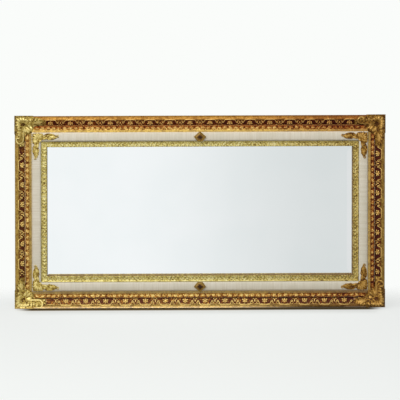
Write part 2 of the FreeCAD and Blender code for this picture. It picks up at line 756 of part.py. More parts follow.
def corner_ornament(corner):
    """A cast leaf that covers a mitre of the rails and runs out along both of them."""
    across, up = CORNERS[corner]
    turn = CORNER_ANGLES[corner]
    name = f"{corner}_corner"
    shell = doc.addObject("PartDesign::Body", name + "_shell")
    spine = new_sketch(shell, name + "_spine", "XZ_Plane")
    first = spine.addGeometry(Part.LineSegment(
        FreeCAD.Vector(value("corner_reach"), 0, 0), FreeCAD.Vector(0, 0, 0)), False)
    second = spine.addGeometry(Part.LineSegment(
        FreeCAD.Vector(0, 0, 0), FreeCAD.Vector(0, -value("corner_reach"), 0)), False)
    spine.addConstraint(Sketcher.Constraint("Coincident", first, 2, -1, 1))
    spine.addConstraint(Sketcher.Constraint("Coincident", second, 1, -1, 1))
    pin_point(spine, first, 1, "DistanceX", -2, "corner_reach")
    pin_point(spine, first, 1, "DistanceY", -1, "0")
    pin_point(spine, second, 2, "DistanceX", -2, "0")
    pin_point(spine, second, 2, "DistanceY", -1, "-corner_reach")
    profile = new_sketch(shell, name + "_section", "YZ_Plane")
    draw_outline(profile, section([
        ("skirt_at - corner_wrap", "outer_side_height - corner_skirt"),
        ("-corner_wrap", "outer_side_height", "shoulder_radius"),
        ("outer_bead_width", "crest_height + corner_rise"),
        ("flower_end_at", "thin_fillet_top + corner_rise"),
        ("thin_end_at", "thin_fillet_top + corner_rise"),
        ("leaf_end_at", "inner_fillet_top + corner_rise"),
        ("rail_width", "inner_fillet_low + corner_rise"),
        ("rail_width", "inner_fillet_low"),
        ("leaf_end_at", "inner_fillet_top"),
        ("leaf_end_at", "leaf_bed_inner"),
        ("thin_end_at", "leaf_bed_outer"),
        ("thin_end_at", "thin_fillet_top"),
        ("flower_end_at", "thin_fillet_top"),
        ("flower_end_at", "flower_bed_inner"),
        ("outer_bead_width", "flower_bed_outer"),
        ("outer_bead_width", "crest_height", "-outer_bead_width"),
        ("0", "outer_side_height"),
        ("skirt_at", "outer_side_height - corner_skirt"),
    ]))
    profile.setExpression("AttachmentOffset.Base.z", cells("corner_reach"))
    doc.recompute()
    sweep = shell.newObject("PartDesign::AdditivePipe", name + "_sweep")
    sweep.Profile = profile
    sweep.Spine = (spine, ["Edge1", "Edge2"])
    sweep.Transition = "Right corner"
    place(shell, across, "back_place", up, turn)

    leaf = doc.addObject("PartDesign::Body", name + "_leaf")
    outline = new_sketch(leaf, name + "_outline", "XZ_Plane")
    along, over = CORNER_LEAF_ROUND_SHARES
    bulge = f"-({along} * corner_reach + {over} * rail_width)"
    draw_outline(outline, diagonal_outline([
        ("-corner_wrap", "-corner_wrap"),
        (f"{CORNER_EDGE_SHARE} * corner_reach", "-corner_wrap"),
        (f"{CORNER_NECK_SHARE} * corner_reach", f"{CORNER_LEAF_TOP_SHARE} * rail_width", bulge),
        ("corner_reach", f"{CORNER_LEAF_TIP_SHARE} * rail_width", bulge),
        (f"{CORNER_NECK_SHARE} * corner_reach", f"{CORNER_LEAF_FOOT_SHARE} * rail_width"),
        ("rail_width", "rail_width"),
    ]))
    pad = leaf.newObject("PartDesign::Pad", name + "_pad")
    pad.Profile = outline
    pad.setExpression("Length", cells("crest_height + 2 * corner_rise"))
    place(leaf, across, "back_place", up, turn)

    trimmed = doc.addObject("Part::Common", name + "_trimmed")
    trimmed.Base = shell
    trimmed.Tool = leaf
    return finish(trimmed, f"{corner}_corner_ornament")


def corner_spray(corner):
    """A cast leaf spray laid on the frieze in one of its corners."""
    across, up = CORNERS[corner]
    turn = CORNER_ANGLES[corner]
    name = f"{corner}_spray"
    body = doc.addObject("PartDesign::Body", name)
    outline = new_sketch(body, name + "_outline", "XZ_Plane")

    def spot(shares):
        return (f"rail_width + {shares[0]} * spray_reach", f"rail_width + {shares[1]} * panel_show_width")

    start = f"rail_width + {SPRAY_START_SHARE} * panel_show_width"
    end = f"rail_width + {SPRAY_END_SHARE} * panel_show_width"
    along, over = SPRAY_ROUND_SHARES
    bulge = f"-({along} * spray_reach + {over} * panel_show_width)"
    draw_outline(outline, diagonal_outline([
        (start, start),
        spot(SPRAY_FAN_SHARES),
        spot(SPRAY_NOTCH_SHARES),
        (*spot(SPRAY_LEAF_SHARES), bulge),
        (*spot(SPRAY_TIP_SHARES), bulge),
        spot(SPRAY_FOOT_SHARES),
        spot(SPRAY_THROAT_SHARES),
        spot(SPRAY_HEEL_SHARES),
        (end, end),
    ]))
    pad = body.newObject("PartDesign::Pad", name + "_pad")
    pad.Profile = outline
    pad.setExpression("Length", cells("spray_thickness"))
    place(body, across, "back_place - field_front", up, turn)
    return finish(body, f"{corner}_corner_spray")


def centre_ornament(side):
    """A cast lozenge on the frieze whose cap laps the rail's fillet and the sight edge."""
    _, across, up = SIDES[side]
    name = f"{side}_lozenge"
    body = doc.addObject("PartDesign::Body", name)
    middle = "rail_width + panel_show_width / 2"

    def lozenge(part, half_length, half_width, height):
        sketch = new_sketch(body, f"{name}_{part}", "XZ_Plane")
        outer = f"-({middle}) + ({half_width})"
        inner = f"-({middle}) - ({half_width})"
        draw_outline(sketch, [
            (f"-({half_length})", f"-({middle})"),
            (f"-2 * {CENTRE_OUTER_END_SHARE} * ({half_length})", outer),
            (f"2 * {CENTRE_OUTER_END_SHARE} * ({half_length})", outer),
            (half_length, f"-({middle})"),
            (f"2 * {CENTRE_INNER_END_SHARE} * ({half_length})", inner),
            (f"-2 * {CENTRE_INNER_END_SHARE} * ({half_length})", inner),
        ])
        sketch.setExpression("AttachmentOffset.Base.z", cells(height))
        return sketch

    seat = "panel_show_width / 2 - centre_gap"
    lap = "panel_show_width / 2 + centre_overlap"
    cap_top = "centre_foot + centre_cap_thickness"
    crown_top = f"{cap_top} + centre_crown_rise"
    foot = body.newObject("PartDesign::Pad", name + "_foot")
    foot.Profile = lozenge("foot_outline", "centre_length / 2 - centre_overlap", seat, "0")
    foot.setExpression("Length", cells("centre_foot"))
    doc.recompute()
    cap = body.newObject("PartDesign::Pad", name + "_cap")
    cap.Profile = lozenge("cap_outline", "centre_length / 2", lap, "centre_foot")
    cap.setExpression("Length", cells("centre_cap_thickness"))
    doc.recompute()
    crown = body.newObject("PartDesign::AdditiveLoft", name + "_crown")
    crown.Profile = lozenge("crown_base", "centre_length / 2", lap, cap_top)
    crown.Sections = [lozenge("crown_top", f"{CENTRE_TOP_SHARE} * centre_length / 2",
                              f"{CENTRE_TOP_SHARE} * ({lap})", crown_top)]
    place(body, across, "back_place - field_front", up, SIDE_ANGLES[side])
    return finish(body, f"{side}_centre_ornament")


def compound(name, things):
    thing = doc.addObject("Part::Compound", name)
    thing.Links = things
    return thing


def build():
    fill_sheets()
    flat_screws = finish(plate_screws(), "plate_screws")
    round_screws = finish(hanger_screws(), "hanger_screws")
    points = glazing_points()
    rail_fasteners = compound("rail_fasteners", [flat_screws, round_screws])
    board_fasteners = compound("board_fasteners", [flat_screws, points])
    for side in SIDES:
        rail(side, rail_fasteners)
        flower_run(side)
        leaf_run(side)
        panel(side, board_fasteners)
        sight_edge(side)
    for corner in CORNERS:
        corner_ornament(corner)
        corner_spray(corner)
    for side in ("top", "bottom"):
        centre_ornament(side)
    mirror_glass()
    setting_blocks()
    backing_board()
    corner_plates(flat_screws)
    liner_plates(flat_screws)
    for name, sign in (("left", "-"), ("right", "")):
        hanger_strap(name, sign, round_screws)
        hanger_ring(name, sign)
    wall_bumpers()
    doc.recompute()


def check_and_export():
    for thing in doc.Objects:
        if "Invalid" in thing.State or "Error" in thing.State:
            raise RuntimeError(f"{thing.Label} failed: {thing.State}")
    for thing in sub_parts:
        if thing.Shape.isNull() or not thing.Shape.isValid():
            raise RuntimeError(f"{thing.Label} has no sound shape")
    os.makedirs("parts", exist_ok=True)
    for thing in sub_parts:
        thing.Shape.exportStep(f"parts/{thing.Label}.step")
        print(f"{thing.Label}: {len(thing.Shape.Solids)} solids, {thing.Shape.Volume:.0f} mm3")


build()
check_and_export()
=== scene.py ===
import math
import random

import bmesh
import bpy
from mathutils import Matrix, Vector


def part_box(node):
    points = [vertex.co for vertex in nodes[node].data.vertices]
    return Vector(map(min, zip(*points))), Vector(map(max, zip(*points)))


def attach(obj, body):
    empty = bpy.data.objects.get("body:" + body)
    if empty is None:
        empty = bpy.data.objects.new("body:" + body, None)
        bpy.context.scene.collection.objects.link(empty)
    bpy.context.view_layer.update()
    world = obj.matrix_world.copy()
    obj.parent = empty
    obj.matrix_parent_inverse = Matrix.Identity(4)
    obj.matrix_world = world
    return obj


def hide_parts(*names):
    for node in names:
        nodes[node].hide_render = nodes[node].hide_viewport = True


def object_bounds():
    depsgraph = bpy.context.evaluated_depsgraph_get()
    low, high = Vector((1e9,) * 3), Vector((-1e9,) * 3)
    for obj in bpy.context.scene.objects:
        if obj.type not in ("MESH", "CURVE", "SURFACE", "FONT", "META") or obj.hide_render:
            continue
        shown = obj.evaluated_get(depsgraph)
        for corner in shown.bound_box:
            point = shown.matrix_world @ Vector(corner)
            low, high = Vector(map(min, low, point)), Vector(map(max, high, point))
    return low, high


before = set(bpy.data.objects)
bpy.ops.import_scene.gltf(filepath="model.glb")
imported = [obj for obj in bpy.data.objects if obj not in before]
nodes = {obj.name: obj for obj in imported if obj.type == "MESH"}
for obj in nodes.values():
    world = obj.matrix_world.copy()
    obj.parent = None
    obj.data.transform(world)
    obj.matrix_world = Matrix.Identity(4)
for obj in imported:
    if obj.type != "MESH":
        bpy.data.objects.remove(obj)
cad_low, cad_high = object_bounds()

# Rails: four mitred lengths of pine moulding, coated with gesso and red bole, laid with gold leaf and
# rubbed. Plates and screws hold the mitres together from behind, where the pine stays bare.
rail_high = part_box("top_rail")[1]
frame_half = rail_high.x
frame_top = rail_high.z
rail_level = 0.64
# The middle and the half width of bands of the moulding, in metres inwards from the frame's edge
outer_bead = (0.006, 0.007)
thin_fillet = (0.0365, 0.002)
inner_fillet = (0.054, 0.0042)
inner_fillet_edges = (0.050, 0.058)
# A Map Range takes its value at input 0 and its two ranges at 1 to 4, and is usually a soft one. A Mix is
# usually one of colours: it takes its share at input 0 and the colours at 6 and 7, and gives output 2.
usual_settings = {"MapRange": {"interpolation_type": "SMOOTHSTEP"}, "Mix": {"data_type": "RGBA"}}


def colour(code):
    """Turn an sRGB hex code into linear red, green, blue and alpha."""
    parts = [int(code[place:place + 2], 16) / 255 for place in (0, 2, 4)]
    linear = [part / 12.92 if part <= 0.04045 else ((part + 0.055) / 1.055) ** 2.4 for part in parts]
    return (*linear, 1)


def feed(node, feeds):
    """Link a socket to each named input of a node, or set a constant there."""
    for name, value in feeds.items():
        if isinstance(value, bpy.types.NodeSocket):
            node.id_data.links.new(value, node.inputs[name])
        else:
            node.inputs[name].default_value = value


def add(tree, kind, feeds, output=0, **settings):
    """Add one node with its settings and feeds, and give one of its outputs."""
    node = tree.nodes.new("ShaderNode" + kind)
    for name, setting in (usual_settings.get(kind, {}) | settings).items():
        setattr(node, name, setting)
    feed(node, feeds)
    return node.outputs[output]


def new_material(name):
    """Start a material and give its node tree and its principled shader."""
    material = bpy.data.materials.new(name)
    material.use_nodes = True
    return material, material.node_tree, material.node_tree.nodes["Principled BSDF"]


def lay_finish(node, material):
    """Give a CAD node, which keeps its own mesh, its finish."""
    nodes[node].data.materials.clear()
    nodes[node].data.materials.append(material)


def gilding(tree, shader, level, leaf, rubbed, hollow, polish, metal,
            speck=0.003, wear=0.2, glaze_and_shade=1.0, wiped=1.0):
    """Gold leaf over bole: bright and smooth where it stands high, brown and dull in the hollows.

    The leaf's laps vary over about 16 mm. Its specks are really about 1 mm and are drawn at the coarser
    size given, so that they show. A brown glazing is wiped off the high places and lies in the hollows;
    as painted shade it thickens towards the right of the frame, where the gold is also lowered towards
    its hollow colour. The share that the wiping leaves is given back.
    """
    lap = 0.016
    dull_metal = 0.3
    place = add(tree, "TexCoord", {}, "Object")
    along = add(tree, "SeparateXYZ", {0: place}, "X")
    laps = add(tree, "TexNoise", {"Vector": place, "Scale": 1 / lap, "Detail": 4.0}, "Fac")
    specks = add(tree, "TexNoise", {"Vector": place, "Scale": 1 / speck, "Detail": 5.0,
                                    "Roughness": 0.65}, "Fac")
    lapped = add(tree, "MapRange", {0: laps, 1: 0.25, 2: 0.75, 3: -0.16, 4: 0.16})
    specked = add(tree, "MapRange", {0: specks, 1: 0.3, 2: 0.7, 3: -wear, 4: wear})
    # painted shade: the gold's level falls towards the right of the frame, so that it darkens there
    shade_to_right = add(tree, "MapRange", {0: along, 1: 0.1, 2: 0.6, 3: 0.02, 4: -0.06})
    worn = add(tree, "Math", {0: lapped, 1: level})
    worn = add(tree, "Math", {0: specked, 1: worn})
    worn = add(tree, "Math", {0: shade_to_right, 1: worn})
    raised = add(tree, "MapRange", {0: worn, 1: 0.12, 2: 0.45})
    covered = add(tree, "MapRange", {0: worn, 1: 0.4, 2: 0.9})
    gold = add(tree, "Mix", {0: raised, 6: colour(hollow), 7: colour(rubbed)}, 2)
    gold = add(tree, "Mix", {0: covered, 6: gold, 7: colour(leaf)}, 2)
    wiping = add(tree, "MapRange", {0: worn, 1: 0.4, 2: 0.8, 3: 1.0, 4: wiped})
    # painted shade: the brown glazing thickens towards the right; the wiping keeps it to the hollows
    glazed_and_shaded = add(tree, "MapRange", {0: along, 1: 0.06, 2: 0.56, 3: 0.0, 4: glaze_and_shade})
    glazed_and_shaded = add(tree, "Math", {0: glazed_and_shaded, 1: wiping}, operation="MULTIPLY")
    metallic = dull_metal
    if metal != dull_metal:
        metallic = add(tree, "MapRange", {0: worn, 1: 0.1, 2: 0.6, 3: dull_metal, 4: metal})
    feed(shader, {
        "Base Color": add(tree, "Mix", {0: glazed_and_shaded, 6: gold, 7: colour("d6ac80")}, 2, blend_type="MULTIPLY"),
        "Metallic": metallic,
        "Roughness": add(tree, "MapRange", {0: worn, 1: 0.1, 2: 0.9, 3: 0.62, 4: polish}),
        "Specular IOR Level": 0.25,
        "Normal": add(tree, "Bump", {"Height": specks, "Strength": 0.35, "Distance": 0.0003}),
    })
    return wiping


def planed_pine(tree, along, pale, dark):
    """Bare pine: pale and matt, with darker grain 2 mm wide that runs along the piece."""
    grain_length, grain_width = 0.12, 0.0022
    place = add(tree, "TexCoord", {}, "Object")
    scale = [1 / (grain_length if axis == along else grain_width) for axis in "XYZ"]
    stretched = add(tree, "Mapping", {"Vector": place, "Scale": scale})
    grain = add(tree, "TexNoise", {"Vector": stretched, "Scale": 1.0, "Detail": 3.0}, "Fac")
    grain = add(tree, "MapRange", {0: grain, 1: 0.3, 2: 0.7})
    return add(tree, "Mix", {0: grain, 6: colour(pale), 7: colour(dark)}, 2)


def wall_side(tree):
    """Give 1 on the faces that look to the wall, which are left bare, and 0 on the rest."""
    facing = add(tree, "SeparateXYZ", {0: add(tree, "NewGeometry", {}, "Normal")}, "Y")
    return add(tree, "MapRange", {0: facing, 1: 0.5, 2: 0.7})


def rail_gilding(name, along, across, hand, edge, varnish, glaze_and_shade, bead_shade, fillet, spring):
    """Burnished gold with a satin varnish: warm and half glossy, with a paler thin fillet.

    The inner fillet's gold is tilted by its spring, and the back is planed pine. The thin fillet's tone
    is painted light and shade: paler to make up for the ridge's shadow, darker on the top rail and palest
    on the right. The top rail's bead is made redder and darker as painted shade.
    """
    material, tree, shader = new_material(name)
    gilding(tree, shader, rail_level, "caa850", "9a742a", "603c10", polish=0.5, metal=0.4,
            speck=0.006, wear=0.28, glaze_and_shade=glaze_and_shade)
    inward = add(tree, "SeparateXYZ", {0: add(tree, "TexCoord", {}, "Object")}, across)
    inward = add(tree, "Math", {0: inward, 1: hand, 2: edge}, operation="MULTIPLY_ADD")
    start, end = inner_fillet_edges
    slope = add(tree, "MapRange", {0: inward, 1: start, 2: end}, interpolation_type="LINEAR")
    specked = shader.inputs["Normal"].links[0].from_socket
    feed(shader, {"Normal": add(tree, "Bump", {"Height": slope, "Distance": spring, "Normal": specked})})
    gold = shader.inputs["Base Color"].links[0].from_socket
    # painted light and shade: the thin fillet takes each rail's own tone
    thin = add(tree, "Math", {0: inward, 1: thin_fillet[0], 2: thin_fillet[1]}, operation="COMPARE")
    share = add(tree, "Math", {0: thin, 1: 0.85}, operation="MULTIPLY")
    gold = add(tree, "Mix", {0: share, 6: gold, 7: colour(fillet)}, 2)
    # painted shade: the bead of the top rail is made redder and darker
    bead = add(tree, "Math", {0: inward, 1: outer_bead[0], 2: outer_bead[1]}, operation="COMPARE")
    share = add(tree, "Math", {0: bead, 1: bead_shade}, operation="MULTIPLY")
    gold = add(tree, "Mix", {0: share, 6: gold, 7: colour("f0b078")}, 2, blend_type="MULTIPLY")
    wide = add(tree, "Math", {0: inward, 1: inner_fillet[0], 2: inner_fillet[1]}, operation="COMPARE")
    share = add(tree, "Math", {0: wide, 1: 0.2}, operation="MULTIPLY")
    gold = add(tree, "Mix", {0: share, 6: gold, 7: colour("e0c478")}, 2)
    bare = wall_side(tree)
    pine = planed_pine(tree, along, "c9a372", "a97f4f")
    feed(shader, {
        "Base Color": add(tree, "Mix", {0: bare, 6: gold, 7: pine}, 2),
        "Coat Weight": varnish,
        "Coat Roughness": 0.3,
    })
    matt = add(tree, "Math", {0: bare, 1: thin}, operation="MAXIMUM")
    for socket, plain in (("Metallic", 0.0), ("Roughness", 0.75)):
        gilt = shader.inputs[socket].links[0].from_socket
        feed(shader, {socket: add(tree, "Mix", {0: matt, 2: gilt, 3: plain}, data_type="FLOAT")})
    return material


# The axis along and across each rail, the sign and edge that measure inwards, and its finish: the
# varnish, the glazing with its painted shade towards the right, the bead's painted shade, the thin
# fillet's painted light and shade, and the inner fillet's spring
rail_finishes = {
    "top": ("X", "Z", -1.0, frame_top, 0.0, 0.8, 0.5, "cd9552", 0.0045),
    "right": ("Z", "X", -1.0, frame_half, 0.3, 0.25, 0.0, "fff0c8", -0.002),
    "bottom": ("X", "Z", 1.0, 0.0, 0.9, 0.8, 0.0, "f0d8a4", 0.0045),
    "left": ("Z", "X", 1.0, frame_half, 0.3, 0.8, 0.0, "f0d8a4", 0.0045),
}
for side, finish in rail_finishes.items():
    lay_finish(f"{side}_rail", rail_gilding(f"gilt_pine_{side}", *finish))

# Flower runs: wide strips of pressed composition, glued into the outer bed of each rail and gilt with
# it. A daisy lies in a dark hollow under an arched rim whose ends curl into volutes, and a husk fills
# each gap.
millimetre = 0.001
back = rail_high.y
# The middle of each side's outer edge and the angle that turns the upper side into it
SIDES = {
    "top": ((0, back, frame_top), 0),
    "right": ((frame_half, back, frame_top / 2), 90),
    "bottom": ((0, back, 0), 180),
    "left": ((-frame_half, back, frame_top / 2), 270),
}
flower_bed = ((12.5, 40.5), (34.5, 26.0))
flower_pitch = 68.8
flower_starts = {"top": 34.4, "right": -6.3, "bottom": 17.8, "left": -27.1}
flower_middle = 13.4
flower_ends, husk_ends = 10, 8
flower_relief = (1.1, 4.0)
flower_sheet = 1.3
# Each edge's lip: its width, its rise, the share of it that is flat and where its crest lies
flower_lips = ((1.6, 1.8, 0.6, 0.0), (2.0, 0.9, 0.6, 0.0))
origin = (0, 0, 0)
flat_underside = 0.1


def select_only(pieces):
    bpy.ops.object.select_all(action="DESELECT")
    for piece in pieces:
        piece.select_set(True)
    bpy.context.view_layer.objects.active = pieces[0]


def edit_all(piece):
    """Go into edit mode on one piece, with all of it selected."""
    select_only([piece])
    bpy.ops.object.mode_set(mode="EDIT")
    bpy.ops.mesh.select_all(action="SELECT")


def pick(test):
    """In edit mode, select the points whose place passes a test, and the faces between them."""
    bpy.ops.mesh.select_all(action="DESELECT")
    mesh = bmesh.from_edit_mesh(bpy.context.edit_object.data)
    for point in mesh.verts:
        point.select_set(test(point.co))
    mesh.select_flush(True)
    bmesh.update_edit_mesh(bpy.context.edit_object.data)


def model_petal(name, segments, rings, root, tip, vein):
    """Shape a ball into a petal's dome, two long, two wide and one high, with its tip at +X."""
    bpy.ops.object.select_all(action="DESELECT")
    bpy.ops.mesh.primitive_uv_sphere_add(segments=segments, ring_count=rings, radius=1)
    petal = bpy.context.active_object
    petal.name = name
    edit_all(petal)
    bpy.ops.transform.rotate(value=math.pi / 2, orient_axis="Y", center_override=origin)
    for reach in (-0.2, -0.6):
        pick(lambda place: place.x < reach)
        bpy.ops.transform.resize(value=(1, root, 0.8), center_override=origin)
    pick(lambda place: place.x > 0.5)
    bpy.ops.transform.resize(value=(1, tip, tip), center_override=origin)
    pick(lambda place: abs(place.y) < 0.05 and place.z > 0.15 and abs(place.x) < 0.95)
    bpy.ops.transform.translate(value=(0, 0, -vein))
    pick(lambda place: place.z < -0.01)
    bpy.ops.transform.resize(value=(1, 1, flat_underside), center_override=origin)
    bpy.ops.object.mode_set(mode="OBJECT")
    bpy.ops.object.shade_smooth()
    return petal


def model_button(name):
    """Shape a ball into a low button with a dimple, two across and one high."""
    dimple = 0.3
    bpy.ops.object.select_all(action="DESELECT")
    bpy.ops.mesh.primitive_uv_sphere_add(segments=12, ring_count=8, radius=1)
    button = bpy.context.active_object
    button.name = name
    edit_all(button)
    pick(lambda place: place.z > 0.9)
    bpy.ops.transform.translate(value=(0, 0, -dimple))
    pick(lambda place: place.z < -0.01)
    bpy.ops.transform.resize(value=(1, 1, flat_underside), center_override=origin)
    bpy.ops.object.mode_set(mode="OBJECT")
    bpy.ops.object.shade_smooth()
    return button


def model_scroll(name, wire, start, steps):
    """Draw a round bead from a start along +X: (length, 0) runs straight, (radius, angle) bends.

    A positive angle bends to the left. The bead's free end is narrowed and closed.
    """
    narrowing = 0.55
    step_angle = 18
    bpy.ops.object.select_all(action="DESELECT")
    bpy.ops.mesh.primitive_circle_add(vertices=8, radius=wire, location=start,
                                      rotation=(0, math.pi / 2, 0))
    scroll = bpy.context.active_object
    scroll.name = name
    bpy.ops.object.transform_apply(location=True, rotation=True, scale=True)
    edit_all(scroll)
    spot = Vector(start)
    heading = 0.0
    for size, bend in steps:
        way = Vector((math.cos(heading), math.sin(heading), 0))
        if bend == 0:
            bpy.ops.mesh.extrude_region_move(TRANSFORM_OT_translate={"value": way * size})
            spot += way * size
            continue
        turn = math.radians(bend)
        hand = math.copysign(1, turn)
        centre = spot + Vector((-way.y, way.x, 0)) * size * hand
        bpy.ops.mesh.spin(steps=max(3, round(abs(bend) / step_angle)), angle=abs(turn), center=centre,
                          axis=(0, 0, -hand))
        spot = centre + Matrix.Rotation(turn, 3, "Z") @ (spot - centre)
        heading += turn
    bpy.ops.transform.resize(value=(narrowing, narrowing, narrowing), center_override=spot)
    bpy.ops.mesh.edge_face_add()
    bpy.ops.object.mode_set(mode="OBJECT")
    bpy.ops.object.shade_smooth()
    return scroll, spot


def petal_place(root, tip, width, height, base=0.0):
    """Stretch a unit petal from its root to its tip."""
    root, tip = Vector(root), Vector(tip)
    way = tip - root
    middle = (root + tip) / 2
    turn = Matrix.Rotation(math.atan2(way.y, way.x), 4, "Z")
    size = Matrix.Diagonal((way.length / 2, width / 2, height, 1))
    return Matrix.Translation((middle.x, middle.y, base)) @ turn @ size


def button_place(middle, base, size):
    """Set a unit button of a size, half across each way and high, on a spot."""
    return Matrix.Translation((middle.x, middle.y, base)) @ Matrix.Diagonal((*size, 1))


def gather(name, copies):
    """Join copies of modelled shapes, each with its own mesh, into one piece."""
    pieces = []
    for master, place in copies:
        piece = bpy.data.objects.new(name, master.data.copy())
        piece.data.transform(place)
        if place.determinant() < 0:
            piece.data.flip_normals()
        bpy.context.scene.collection.objects.link(piece)
        pieces.append(piece)
    select_only(pieces)
    bpy.ops.object.join()
    return pieces[0]


def mark_relief(piece, share_at):
    """Keep at each point a share, from sunk ground to full relief, that the gilding reads."""
    relief = piece.data.attributes.new("relief", "FLOAT", "POINT")
    for mark, point in zip(relief.data, piece.data.vertices):
        mark.value = min(1.0, max(0.0, share_at(point.co)))


def mark_height(piece, sunk, full):
    """Mark a carving's relief by its height over the ground."""
    mark_relief(piece, lambda place: (place.z - sunk) / (full - sunk))


def bed_place(side, outer, inner):
    """Carry a drawing in millimetres (along, across, height) to a bed of one side's section."""
    inward, rise = (Vector(inner) - Vector(outer)).normalized()
    bed = Matrix((
        (-1, 0, 0, 0),
        (0, -rise, -inward, -outer[1]),
        (0, -inward, rise, -outer[0]),
        (0, 0, 0, 1),
    ))
    middle, angle = SIDES[side]
    turned = Matrix.Translation(middle) @ Matrix.Rotation(math.radians(angle), 4, "Y")
    return turned @ Matrix.Scale(millimetre, 4) @ bed


def node_length(node):
    """Give the length of a side's CAD node in millimetres."""
    low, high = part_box(node)
    return max(high - low) / millimetre


def model_strip(name, length, width, sheet, lips):
    """Model a strip's sheet with a raised lip along each edge."""
    bpy.ops.object.select_all(action="DESELECT")
    bpy.ops.mesh.primitive_cube_add(size=1)
    strip = bpy.context.active_object
    strip.name = name
    edit_all(strip)
    bpy.ops.transform.translate(value=(0, 0.5, 0.5))
    bpy.ops.transform.resize(value=(length, width, sheet), center_override=origin)
    edges = (lips[0][0], width - lips[1][0])
    for cut in edges:
        bpy.ops.mesh.select_all(action="SELECT")
        bpy.ops.mesh.bisect(plane_co=(0, cut, 0), plane_no=(0, 1, 0))
    slack = 0.01
    for near, (_, rise, flat_share, crest) in zip((True, False), lips):
        pick(lambda place: place.z > sheet - slack
             and (place.y < edges[0] + slack if near else place.y > edges[1] - slack))
        bpy.ops.mesh.extrude_region_move(TRANSFORM_OT_translate={"value": (0, 0, rise)})
        top = crest if near else width - crest
        bpy.ops.transform.resize(value=(1, flat_share, 1), center_override=(0, top, 0))
    bpy.ops.object.mode_set(mode="OBJECT")
    return strip


def dress(piece, name, node, material):
    """Name a finished piece, lay its finish and let it stand for its CAD node on the frame."""
    piece.name = name
    piece.data.name = name
    piece.data.materials.clear()
    piece.data.materials.append(material)
    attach(piece, "frame")
    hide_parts(node)


def discard(masters):
    for master in masters:
        bpy.data.objects.remove(master)


flower_chord = (Vector(flower_bed[1]) - Vector(flower_bed[0])).length
petal = model_petal("petal", 12, 8, root=0.72, tip=0.85, vein=0.2)
button = model_button("button")

# The rim's bead runs along the hollow, turns up, and curls into a volute; the other half mirrors it
rim_wire, rim_start = 1.25, (0, -5.5, 3.8)
rim_steps = [(12.0, 0), (6.5, 72), (12.5, 0), (2.6, -250)]
rim_tilt, rim_pivot = math.radians(9), (0, flower_middle, 3.2)
half_rim, volute_eye = model_scroll("rim", rim_wire, rim_start, rim_steps)
edit_all(half_rim)
bpy.ops.transform.rotate(value=rim_tilt, orient_axis="X", center_override=rim_pivot)
bpy.ops.object.mode_set(mode="OBJECT")
bpy.ops.object.modifier_add(type="MIRROR")
bpy.ops.object.modifier_apply(modifier="Mirror")

# The daisy's petals: the angle and the reach of each
daisy = Vector((0, flower_middle))
daisy_rays = ((24, 11.5), (90, 8.6), (156, 11.5), (216, 10.0), (270, 9.6), (324, 10.0))
daisy_root, daisy_width, daisy_height, daisy_base = 1.6, 6.0, 4.8, 1.2
daisy_button = (2.8, 2.8, 5.4)
volute_base, volute_button = 1.0, (2.2, 2.2, 4.6)
unit_copies = [(half_rim, Matrix())]
for angle, reach in daisy_rays:
    ray = Vector((math.cos(math.radians(angle)), math.sin(math.radians(angle))))
    root, tip = daisy + ray * daisy_root, daisy + ray * reach
    unit_copies.append((petal, petal_place(root, tip, daisy_width, daisy_height, daisy_base)))
unit_copies.append((button, button_place(daisy, daisy_base, daisy_button)))
for sign in (-1, 1):
    eye = Vector((sign * volute_eye.x, volute_eye.y))
    unit_copies.append((button, button_place(eye, volute_base, volute_button)))
flower_unit = gather("flower_unit", unit_copies)
mark_height(flower_unit, *flower_relief)

# The husk's leaves: root, tip, width and height
husk_base = 1.0
husk_lobes = [
    ((0, 23.5), (0, 5.5), 5.0, 4.0),
    ((-1.5, 22.0), (-7.5, 17.0), 4.4, 3.4),
    ((1.5, 22.0), (7.5, 17.0), 4.4, 3.4),
    ((-2.5, 8.5), (-8.5, 3.2), 4.2, 3.2),
    ((2.5, 8.5), (8.5, 3.2), 4.2, 3.2),
    ((-4.0, 25.2), (-15.0, 23.8), 3.0, 2.8),
    ((4.0, 25.2), (15.0, 23.8), 3.0, 2.8),
]
husk = gather("husk", [(petal, petal_place(*spot, husk_base)) for spot in husk_lobes])
mark_height(husk, *flower_relief)

# Gilt composition: bright yellow gold on the crests and red-brown bole in the hollows. Along the upper
# side, from the leaf tips of its leaf run outwards, the hollows are made redder and darker as painted shade
upper_shade_start, upper_shade_end, upper_shade_share = 0.624, 0.634, 0.85
composition, tree, shader = new_material("gilt_composition")
relief = add(tree, "Attribute", {}, "Fac", attribute_name="relief")
wiping = gilding(tree, shader, relief, "fcdc86", "b47a28", "58240c", polish=0.38, metal=0.5,
                 speck=0.0042, wear=0.32, wiped=0.3)
height = add(tree, "SeparateXYZ", {0: add(tree, "TexCoord", {}, "Object")}, "Z")
# painted shade: redder and darker near the top of the frame, most in the hollows
red = add(tree, "MapRange", {0: height, 1: upper_shade_start, 2: upper_shade_end, 3: 0.0, 4: upper_shade_share})
red = add(tree, "Math", {0: red, 1: wiping}, operation="MULTIPLY")
gold = shader.inputs["Base Color"].links[0].from_socket
gold = add(tree, "Mix", {0: red, 6: gold, 7: colour("ffb478")}, 2, blend_type="MULTIPLY")
feed(shader, {"Base Color": gold})

for side in SIDES:
    length = node_length(f"{side}_flower_run")
    strip = model_strip("flower_sheet", length, flower_chord, flower_sheet, flower_lips)
    mark_height(strip, *flower_relief)
    bed = bed_place(side, *flower_bed)
    copies = [(strip, bed)]
    count = int(length / flower_pitch) + 2
    for number in range(-count, count):
        spot = flower_starts[side] + number * flower_pitch
        if abs(spot) < length / 2 - flower_ends:
            copies.append((flower_unit, bed @ Matrix.Translation((spot, 0, 0))))
        gap = spot + flower_pitch / 2
        if abs(gap) < length / 2 - husk_ends:
            copies.append((husk, bed @ Matrix.Translation((gap, 0, 0))))
    run = gather(f"{side}_flower_carving", copies)
    dress(run, f"{side}_flower_carving", f"{side}_flower_run", composition)
    discard([strip])
discard([half_rim, flower_unit, husk])

